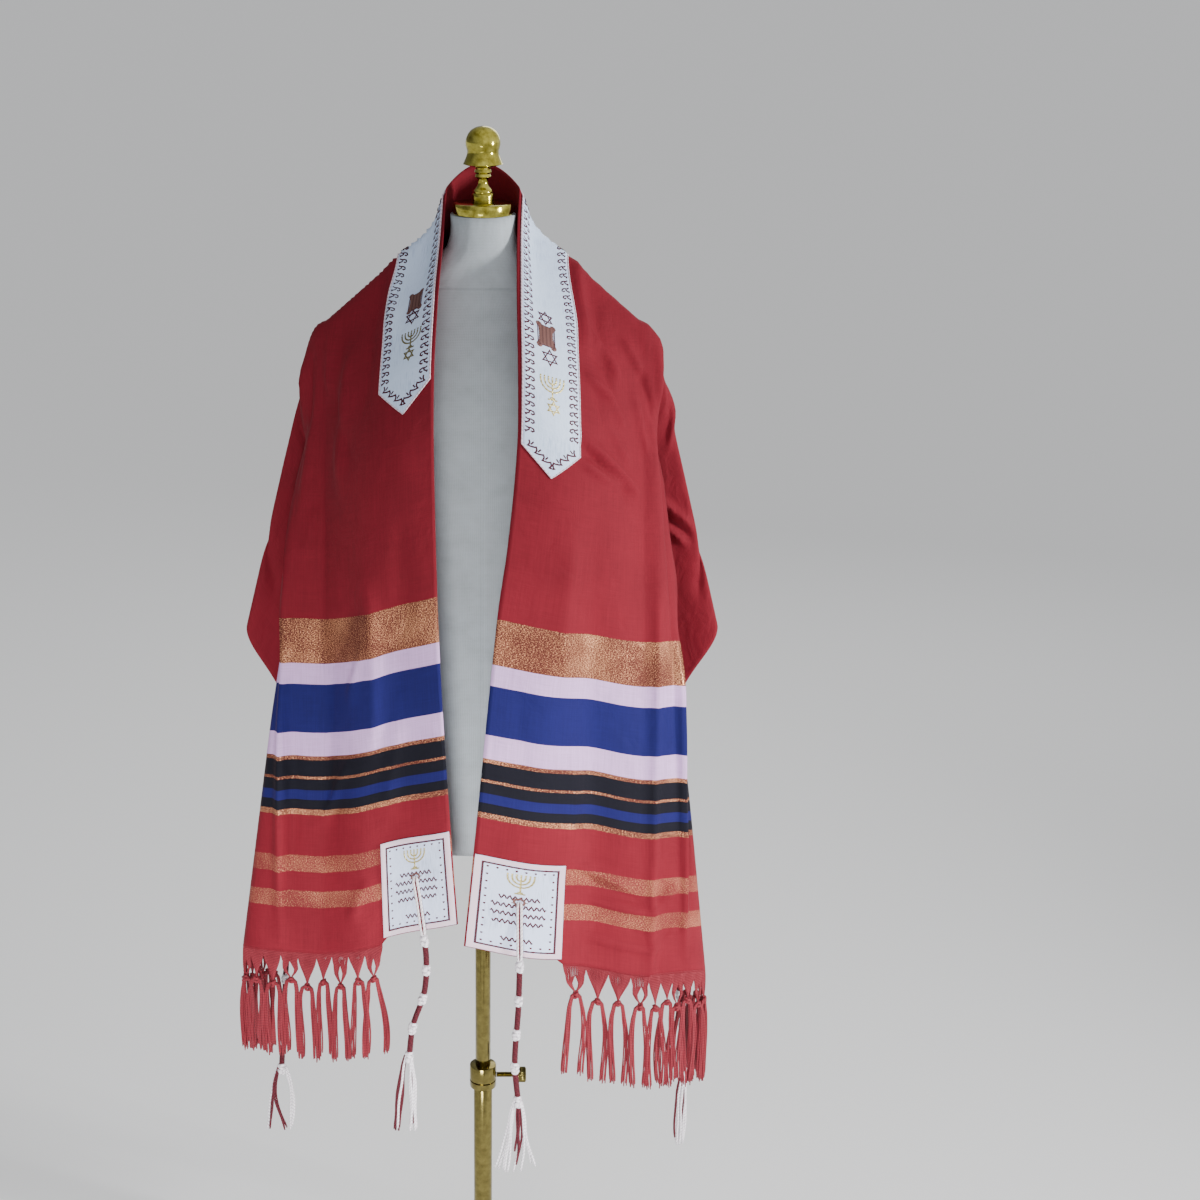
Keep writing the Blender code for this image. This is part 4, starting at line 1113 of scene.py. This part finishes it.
def make_patch(title, finishes):
    """A satin patch with its border, frame line, dots, lamp and eyelet."""
    name, edge, *_ = TASSELS[title]
    (u_low, u_high), (v_low, v_high) = patch_corner(name, edge)
    u_middle, v_middle = (u_low + u_high) / 2, (v_low + v_high) / 2
    node = "patch_" + title
    stations = even_steps(u_low, u_high, PATCH_STEP)
    if name == "left":
        stations.reverse()
    rows = [[(name, u, v) for v in even_steps(v_low, v_high, PATCH_STEP)] for u in stations]
    made = [place_piece(
        laid_sheet(node + "_satin", rows, PATCH_LIFT, PATCH_WALL), finishes["satin"], node,
    )]
    where = facing(name, u_middle, v_middle)
    half_wide, half_tall = PATCH_WIDE / 2, PATCH_TALL / 2
    border, frame_line, dots = [
        rectangle(half_wide - inset, half_tall - inset, step)
        for inset, step in ((0.0030, 0.006), (0.0070, 0.006), (0.0115, DOT_STEP))
    ]
    border, frame_line = [(where, border, BORDER_RIBBON, True)], [(where, frame_line, 0.0024, True)]
    for x, y in dots:
        frame_line.append((where, [(x - 0.0009, y), (x, y + 0.0004), (x + 0.0009, y)], 0.0022, False))
    for reach, y in RUNNING_WAVES:
        wave = [(x, y + 0.0021 * math.sin(1300.0 * x)) for x in even_steps(-reach, reach, 0.0011)]
        frame_line.append((where, wave, 0.0017, False))
    lamp = strokes_of(lamp_lines(0.024, 0.024), facing(name, u_middle - 0.031, v_middle), 0.0020)
    hole = facing(name, u_high - EYELET_UP, v_middle)
    eyelet = [(hole, [(x, y * 0.8) for x, y in arc(0.0, 0.0, 0.0046, 0.0, 360.0, 14)[:-1]], 0.0024, True)]
    for turn in range(0, 360, 40):
        x, y = math.cos(math.radians(turn)), math.sin(math.radians(turn))
        eyelet.append((hole, [(0.0052 * x, 0.0044 * y), (0.0074 * x, 0.0064 * y)], 0.0011, False))
    for suffix, strokes, proud, slot in (
        ("border", border, 0.0005, "white_satin"), ("frame", frame_line, 0.0004, "tassel_thread"),
        ("lamp", lamp, 0.0005, "tassel_thread"), ("eyelet", eyelet, 0.0007, "tassel_thread"),
    ):
        made.append(stitched(node + "_" + suffix, strokes, PATCH_TOP, proud, finishes[suffix], node))
    return made


# A cord below its knot: share of its length, how far it stands to its own side and out.
CORD_SPREAD = [
    (0.0, 0.0012, 0.0), (0.05, 0.0050, 0.0), (0.16, 0.0074, 0.0002), (0.5, 0.0090, 0.0015),
    (1.0, 0.0084, -0.0010),
]


def make_fringe(name, finish):
    """The cloth's own threads, gathered into knots, and two cords a knot."""
    half = SIDES[name]["half"]
    pitch = (SHEET_WIDTH - 2.0 * FRINGE_FROM) / FRINGE_BUNDLES
    comb, steps, threads = ((28, 18, 8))
    paths = []
    for bundle in range(FRINGE_BUNDLES):
        v = FRINGE_FROM + pitch * (bundle + 0.5)
        # The sines of phase give each bundle its own drop, place, parting and length.
        phase = 2.1 * bundle + (0.0 if name == "left" else 0.8)
        out = hang_normal(name, half, v)
        along = (hang(name, half, v + pitch / 4) - hang(name, half, v - pitch / 4)).normalized()
        knot = creased(name, half - 0.0018, v) + up(0.004 * math.sin(1.3 * phase) - FRINGE_DROP)
        knot += along * (0.0022 * math.sin(2.3 * phase))
        parted = 0.0052 * max(0.0, math.sin(1.9 * phase + 0.6))
        for index in range(comb):
            share = (index + 0.5) / comb - 0.5
            aside = share * pitch * 1.05
            root = creased(name, half - COMB_START, v + aside)
            begin = 0.10 + 0.07 * math.sin(1.7 * phase) + 0.03 * math.sin(5.0 * index)
            path = []
            for fall in shares(8):
                kept = 1.0 - 0.93 * smooth((fall - begin) / (1.0 - begin)) - fall * 0.07
                spread = aside * (kept - 1.0 + fall)
                spread += math.copysign(parted, share) * math.sin(math.pi * smooth((fall - 0.3) / 0.7))
                lifted = 0.0010 * math.sin(math.pi * fall) * math.sin(3.0 * index)
                path.append((root.lerp(knot, fall) + along * spread + out * lifted, COMB_RADIUS))
            paths.append(path)
        for rise, tilt in ((0.0018, 0.5), (-0.0004, -0.6), (-0.0026, 0.4)):
            paths.append(ring_path(knot + up(rise), FRINGE_KNOT, KNOT_CORD, tilt, phase, 8))
        length = (FRINGE_LENGTH - FRINGE_DROP) * (1.0 + 0.06 * math.sin(2.9 * phase))
        for way, outermost in ((-1.0, 0), (1.0, FRINGE_BUNDLES - 1)):
            swing = 0.008 if bundle == outermost else 0.0
            wave = 1.37 * phase + 2.0 * way

            def lock(fall):
                """The middle of one cord: up and over from the knot, then down."""
                share = fall / length
                sideways = read_table(CORD_SPREAD, share)
                rise = 0.0034 * math.exp(-((share - 0.04) / 0.04) ** 2)
                over = way * (sideways[0] * (1.0 + 0.16 * math.sin(wave)) + swing * smooth(share))
                over += 0.0016 * math.sin(44.0 * fall + 2.0 * wave) * smooth(5.0 * share)
                forward = out * (sideways[1] * math.cos(1.7 * wave))
                return knot + along * over + forward + up(rise - fall)

            for thread in range(threads):
                row, place = divmod(thread, threads // 2)
                flat = (place + 0.5 + 0.35 * row) / (threads // 2) - 0.5
                ends = length * (1.0 - 0.045 * abs(math.sin(5.0 * thread + wave)) - 0.05 * abs(flat))
                path = []
                for part in shares(steps):
                    fall = ends * part
                    share = fall / length
                    loose = 0.62 + 0.38 * smooth(4.0 * share) + 0.55 * smooth(1.8 * share - 0.8)
                    stray = 0.0005 * math.sin(70.0 * fall + 2.4 * thread)
                    aside = along * (flat * 0.0054 * loose + stray) + out * ((row - 0.5) * 0.0018 * loose)
                    path.append((lock(fall) + aside, CORD_RADIUS if part < 1.0 else CORD_TIP))
                paths.append(path)
    return place_piece(tubes("fringe_threads_" + name, paths, 4), finish, "fringe_" + name)


# The turns of a knot: fall, radius, tilt.
KNOT_TURNS = [
    (-0.0048, 0.0026, 0.30), (-0.0022, 0.0034, -0.55), (0.0008, 0.0036, 0.50), (0.0030, 0.0034, -0.40),
    (0.0054, 0.0024, 0.35),
]


def make_tassel(title, white, red):
    """A doubled cord through the eyelet, five double knots with windings between, loose ends."""
    name, edge, wound, loose = TASSELS[title]
    (_, u_high), (v_low, v_high) = patch_corner(name, edge)
    place = (name, u_high - EYELET_UP, (v_low + v_high) / 2)
    out = hang_normal(*place)
    start = creased(*place, PATCH_TOP + TASSEL_LIFT)
    length = TASSEL_LOOP + wound

    def line(fall):
        swing = read_table(TASSEL_SWAY[title], fall / length)
        forward = out * (TASSEL_FORWARD * smooth(fall / TASSEL_LOOP))
        return start + forward + Vector((swing[0], swing[1], -fall))

    pale, dark = [], []
    # The bare loop: two pale cords side by side, and a thin dark one between and before them.
    for over, home, forward, radius in (
        (-0.0021, pale, 0.0, 0.0017), (0.0021, pale, 0.0, 0.0017), (0.0, dark, 0.0004, 0.0011),
    ):
        path = []
        for share in shares(12):
            fall = mix(-0.0008, TASSEL_LOOP - 0.004, share)
            pinch = 1.0 - 0.55 * smooth((fall - 0.06) / 0.012) - 0.5 * smooth((0.006 - fall) / 0.006)
            depth = -0.0022 * smooth((0.005 - fall) / 0.006) + forward
            path.append((line(fall) + Vector((over * pinch, 0.0, 0.0)) + out * depth, radius))
        home.append(path)
    pale.append([(line(mix(TASSEL_LOOP - 0.008, length, share)), CORE_RADIUS) for share in shares(24)])
    knots = [TASSEL_LOOP + wound * share for share in shares(TASSEL_KNOTS - 1)]
    for index, knot in enumerate(knots):
        for row, (fall, radius, tilt) in enumerate(KNOT_TURNS):
            pale.append(ring_path(line(knot + fall), radius, KNOT_THREAD, tilt, 1.3 * index + 0.9 * row, 12))
    for upper, lower in zip(knots, knots[1:]):
        dark.append(wound_path(line, upper + KNOT_HALF, lower - KNOT_HALF))
    end = line(length)
    for index, (thread, over, behind, tip, share) in enumerate(TASSEL_STRANDS[title]):
        places = [
            (0.0, 0.12 * over, 0.5 * behind), (0.14, 0.62 * over, behind),
            (0.5, over, behind), (1.0, tip, behind),
        ]
        path = []
        for fall in shares(16):
            aside = read_table(places, fall) * 0.001
            curl = 0.0007 * math.sin(9.0 * fall + 2.3 * index) * smooth(3.0 * fall)
            rise = 0.0045 * math.exp(-((fall - 0.05) / 0.05) ** 2)
            point = end + Vector((aside[0] + curl, aside[1] + 0.0012, 0.002 + rise - loose * share * fall))
            path.append((point, STRAND_RADIUS if fall < 1.0 else STRAND_TIP))
        (pale if thread == "white" else dark).append(path)
    node = "tassel_" + title
    return [
        place_piece(tubes(node + suffix, paths, 6), finish, node)
        for suffix, paths, finish in (("_white", pale, white), ("_red", dark, red))
    ]


# ---- the dress form and its stand ----


def form_stations():
    """Turns round the form and falls down it, close together at the seams."""
    turns = {float(turn) for turn in range(0, 360, 5)}
    for seam in SEAM_TURNS:
        turns = {turn for turn in turns if abs(turn - seam) > 2.2}
        turns |= {(seam + step) % 360.0 for step in (-1.4, -0.5, 0.0, 0.5, 1.4)}
    falls = {fall for fall in even_steps(0.0, FORM_RINGS[-1][0], 0.012) if abs(fall - NECK_SEAM) > 0.004}
    falls |= {NECK_SEAM + step for step in (-0.003, -0.001, 0.0, 0.001, 0.003)}
    return sorted(turns), sorted(falls)


def seam_groove(turn, fall):
    """A sunk line with a slight welt on each side, along each seam."""
    off = abs(fall - NECK_SEAM)
    if off < 0.0015:
        return -SEAM_SUNK if off < 0.0004 else SEAM_WELT
    if fall < NECK_SEAM:
        return 0.0
    apart = min(min(abs(turn - seam), 360.0 - abs(turn - seam)) for seam in SEAM_TURNS)
    return -SEAM_SUNK if apart < 0.2 else SEAM_WELT if apart < 0.8 else 0.0


def make_form(finish):
    """The linen body: a smooth loft through the rings, with its seams sunk in."""
    turns, falls = form_stations()
    points, uvs = [], []
    for fall in falls:
        wide, deep, back = read_table(FORM_RINGS, fall)
        for degrees in turns + [360.0]:
            turn = math.radians(degrees % 360.0)
            over, far = math.cos(turn), math.sin(turn)
            sink = seam_groove(degrees % 360.0, fall)
            points.append((
                (wide + sink) * math.copysign(abs(over) ** (2.0 / FORM_SQUARE), over),
                back + (deep + sink) * math.copysign(abs(far) ** (2.0 / FORM_SQUARE), far),
                NECK_TOP - fall,
            ))
            uvs.append((degrees / 360.0 * FORM_GIRTH, fall))
    columns = len(turns) + 1
    faces = [face[::-1] for face in grid_faces(len(falls), columns)]
    faces.append(tuple(range(columns - 1)))
    faces.append(tuple(reversed(range((len(falls) - 1) * columns, len(falls) * columns - 1))))
    piece = mesh_piece("linen_body", points, faces, uvs, "Cloth")
    weld(piece, 0.00001)
    return place_piece(piece, finish, "form_body")


def turned_piece(name, profile, base, finish, node, sides=56):
    """Turned on a lathe: a disc is extruded up the profile and resized at each step."""
    bpy.ops.object.select_all(action="DESELECT")
    radius, height = profile[0]
    bpy.ops.mesh.primitive_circle_add(
        vertices=sides, radius=radius, fill_type="NGON", location=(0.0, 0.0, base + height),
    )
    piece = bpy.context.object
    piece.name = piece.data.name = name
    bpy.ops.object.transform_apply(location=True, rotation=True, scale=True)
    bpy.ops.object.mode_set(mode="EDIT")
    bpy.ops.mesh.select_all(action="SELECT")
    for next_radius, next_height in profile[1:]:
        bpy.ops.mesh.extrude_region_move(TRANSFORM_OT_translate={"value": (0.0, 0.0, next_height - height)})
        factor = next_radius / radius
        bpy.ops.transform.resize(value=(factor, factor, 1.0), center_override=(0.0, 0.0, base + next_height))
        radius, height = next_radius, next_height
    bpy.ops.mesh.select_all(action="SELECT")
    bpy.ops.mesh.normals_make_consistent(inside=False)
    bpy.ops.object.mode_set(mode="OBJECT")
    bpy.ops.object.shade_smooth_by_angle(angle=math.radians(32.0))
    return place_piece(piece, finish, node)


def rounded(profile, steps=3):
    """The profile with its curve filled in between its rows; it never goes down again."""
    rows = [(float(index), radius, height) for index, (radius, height) in enumerate(profile)]
    result = []
    for index in range((len(rows) - 1) * steps + 1):
        radius, height = read_table(rows, index / steps)
        result.append((radius, max(height, result[-1][1]) if result else height))
    return result


def lipped(radius, bottom, top, lip=0.0012):
    """A straight barrel whose two ends are eased."""
    return [
        (radius - lip, bottom), (radius - 0.3 * lip, bottom + 0.3 * lip), (radius, bottom + lip),
        (radius, top - lip), (radius - 0.3 * lip, top - 0.3 * lip), (radius - lip, top),
    ]


def make_brass(polished, painted_darker_brass):
    """The cap and finial above the form, and the stand below it."""
    cap_bottom = NECK_TOP + SEAM_GAP
    socket_bottom = FORM_BOTTOM - SEAM_GAP - SOCKET_DEPTH
    clamp_bottom = SLEEVE_TOP + SEAM_GAP
    clamp_top = clamp_bottom + CLAMP_HEIGHT
    groove = [(CLAMP_RADIUS, 0.0085), (CLAMP_RADIUS - 0.0012, 0.0095), (CLAMP_RADIUS, 0.0105)]
    barrel = lipped(CLAMP_RADIUS, 0.0, CLAMP_HEIGHT)
    sleeve = lipped(SLEEVE_RADIUS, FOOT_PROFILE[-1][1] + SEAM_GAP, SLEEVE_TOP, 0.0006)
    pole = lipped(POLE_RADIUS, clamp_top + SEAM_GAP, socket_bottom - SEAM_GAP, 0.0006)
    for name, profile, base, finish, node, sides in (
        ("neck_cap", lipped(CAP_RADIUS, 0.0, CAP_THICK, 0.0016), cap_bottom, polished, "neck_cap", 56),
        ("finial", rounded(FINIAL_PROFILE), cap_bottom + CAP_THICK + SEAM_GAP, polished, "neck_finial", 56),
        ("socket", lipped(SOCKET_RADIUS, 0.0, SOCKET_DEPTH), socket_bottom, painted_darker_brass, "form_socket", 56),
        ("sleeve", sleeve, 0.0, painted_darker_brass, "pole_sleeve", 40),
        ("clamp", barrel[:3] + groove + barrel[3:], clamp_bottom, painted_darker_brass, "height_clamp", 56),
        ("pole", pole, 0.0, painted_darker_brass, "pole_upper", 40),
        ("foot", rounded(FOOT_PROFILE, 2), 0.0, painted_darker_brass, "stand_foot", 96),
    ):
        turned_piece(name + "_turned", profile, base, finish, node, sides)
    make_screw((clamp_top + clamp_bottom) / 2, painted_darker_brass)


def make_screw(height, finish):
    """The thumb screw: a threaded shank and a knurled knob, turned upright and laid level."""
    start = CLAMP_RADIUS + SEAM_GAP
    profile = [(SCREW_RADIUS - 0.0004, start)]
    for index in range(SCREW_TURNS):
        at = start + 0.0008 + index * SCREW_LENGTH * 0.92 / SCREW_TURNS
        profile += [(SCREW_RADIUS, at), (SCREW_RADIUS - 0.0006, at + 0.0006)]
    knob = start + SCREW_LENGTH
    profile += [
        (SCREW_RADIUS, knob - 0.0006), (KNOB_RADIUS - 0.0010, knob), (KNOB_RADIUS, knob + 0.0010),
        (KNOB_RADIUS, knob + KNOB_LENGTH - 0.0012), (KNOB_RADIUS - 0.0012, knob + KNOB_LENGTH),
    ]
    piece = turned_piece("screw_turned", profile, 0.0, finish, "clamp_screw", 32)
    bpy.ops.object.mode_set(mode="EDIT")
    bpy.ops.mesh.select_all(action="DESELECT")
    bpy.ops.object.mode_set(mode="OBJECT")
    for face in piece.data.polygons:
        flat = abs(face.normal.z) < 0.1 and math.hypot(face.center.x, face.center.y) > KNOB_RADIUS * 0.95
        around = math.degrees(math.atan2(face.center.y, face.center.x)) % KNOB_RIB
        face.select = flat and around < KNOB_RIB / 2
    bpy.ops.object.mode_set(mode="EDIT")
    bpy.ops.mesh.select_mode(type="FACE")
    bpy.ops.mesh.inset(thickness=0.0003, depth=-0.0006, use_individual=True)
    bpy.ops.mesh.select_all(action="DESELECT")
    bpy.ops.object.mode_set(mode="OBJECT")
    piece.rotation_euler = (0.0, math.pi / 2, 0.0)
    piece.location = (0.0, 0.0, height)
    bpy.ops.object.transform_apply(location=True, rotation=True, scale=True)


# ---- studio ----
# Title, place, target, size, power and spread of each light.
LIGHTS = [
    ("key", (2.95, -1.20, 1.40), (0.05, 0.0, 0.60), (0.40, 0.8), 25.0, 70.0),
    ("fill", (-0.35, -1.9, 0.36), (-0.12, -0.1, 0.42), (0.7, 0.7), 5.0, 50.0),
    ("back", (0.8, 2.6, 2.2), (0.0, 0.0, 1.0), (1.6, 1.6), 15.0, 180.0),
]


def make_studio():
    """The camera, a plain pale floor and soft light from the viewer's right."""
    scene = bpy.context.scene
    lens = bpy.data.cameras.new("camera")
    lens.sensor_width = 36.0
    lens.lens = 64.56
    lens.shift_x = 0.0975
    lens.shift_y = -0.0608
    lens.clip_end = 600.0
    camera = bpy.data.objects.new("camera", lens)
    camera.location = (0.0, -2.4, 1.726)
    camera.rotation_euler = (math.radians(90.0 - 16.0), 0.0, 0.0)
    scene.collection.objects.link(camera)
    bpy.context.scene.camera = camera

    bpy.ops.object.select_all(action="DESELECT")
    bpy.ops.mesh.primitive_plane_add(size=500.0)
    floor = bpy.context.object
    floor.name = "floor"
    floor.data.materials.append(painted_floor())

    # A room that is bright towards the window on the right and dim on the other side.
    world = bpy.data.worlds.new("studio")
    bpy.context.scene.world = world
    world.use_nodes = True
    room = add_node(world, "TexCoord", {}, "Generated")
    window = (0.84, -0.36, 0.40)
    towards = add_node(world, "VectorMath", {0: room, 1: window}, "Value", operation="DOT_PRODUCT")
    glow = ramp(world, maths(world, "MULTIPLY_ADD", towards, 0.5, 0.5), [
        (0.20, from_hex("7E8084")), (0.48, from_hex("C4C6CA")), (0.85, from_hex("FFFFFF")),
    ])
    background = world.node_tree.nodes["Background"]
    background.inputs["Strength"].default_value = 0.86
    join(world, background, {"Color": glow})
    for title, place, target, size, power, spread in LIGHTS:
        light = bpy.data.lights.new(title, "AREA")
        light.shape = "RECTANGLE"
        light.size, light.size_y = size
        light.energy = power
        light.spread = math.radians(spread)
        lamp = bpy.data.objects.new(title, light)
        lamp.location = place
        lamp.rotation_euler = (Vector(place) - Vector(target)).to_track_quat("Z", "Y").to_euler()
        scene.collection.objects.link(lamp)


make_studio()
cloth_finish = woven_cloth()
white_satin = satin("woven_satin", "D2E4FF", "A6BADC")
patch_satin = satin("fine_woven_satin", "CEDAF6", "A2ACC8")
border_ribbon = satin("ribbon_with_fine_checks", "DCC0CE", "A88A9A", 0.5)
maroon_thread = spun_thread("mercerised_maroon_thread", "4C1626", "280A14", 0.55)
gold_thread = spun_thread("gold_metal_thread", "BCAE74", "7A6C40", 0.34, 0.5)
copper_thread = spun_thread("copper_metal_thread", "74504A", "4C302E", 0.45, 0.3)
olive_thread = spun_thread("olive_silk_thread", "756C46", "464020", 0.5)
piping_thread = spun_thread("satin_piping", "E4D2DC", "B49CAA", 0.5)
fringe_thread = spun_thread("spun_viscose", "842530", "641A24", 0.75, twist=0.0012, nap=0.05)
tassel_white = spun_thread("spun_white_wool", "E6E2E6", "B4AAB2", 0.75)
tassel_red = spun_thread("spun_maroon_wool", "5E1C28", "340C14", 0.75)

sheet = make_sheet(cloth_finish)
sewn = [make_band(white_satin), make_band_piping(piping_thread), make_band_border(maroon_thread)]
for yarn, yarn_finish in (
    ("copper", copper_thread), ("gold", gold_thread), ("olive", olive_thread), ("maroon", maroon_thread),
):
    sewn.append(make_band_motifs(yarn, yarn_finish))
patch_finishes = {
    "satin": patch_satin, "border": border_ribbon, "frame": maroon_thread, "lamp": gold_thread,
    "eyelet": copper_thread,
}
for corner in TASSELS:
    sewn += make_patch(corner, patch_finishes)
    sewn += make_tassel(corner, tassel_white, tassel_red)
sewn += [make_fringe(side, fringe_thread) for side in SIDES]
make_form(linen())
# The stand's brass has darker colours than the cap's: painted shade, standing in for the dim room that its
# polished brass reflects.
make_brass(brass("polished_brass", "8E8228", "DED468"), brass("brass_painted_darker", "6A6036", "8C804A"))
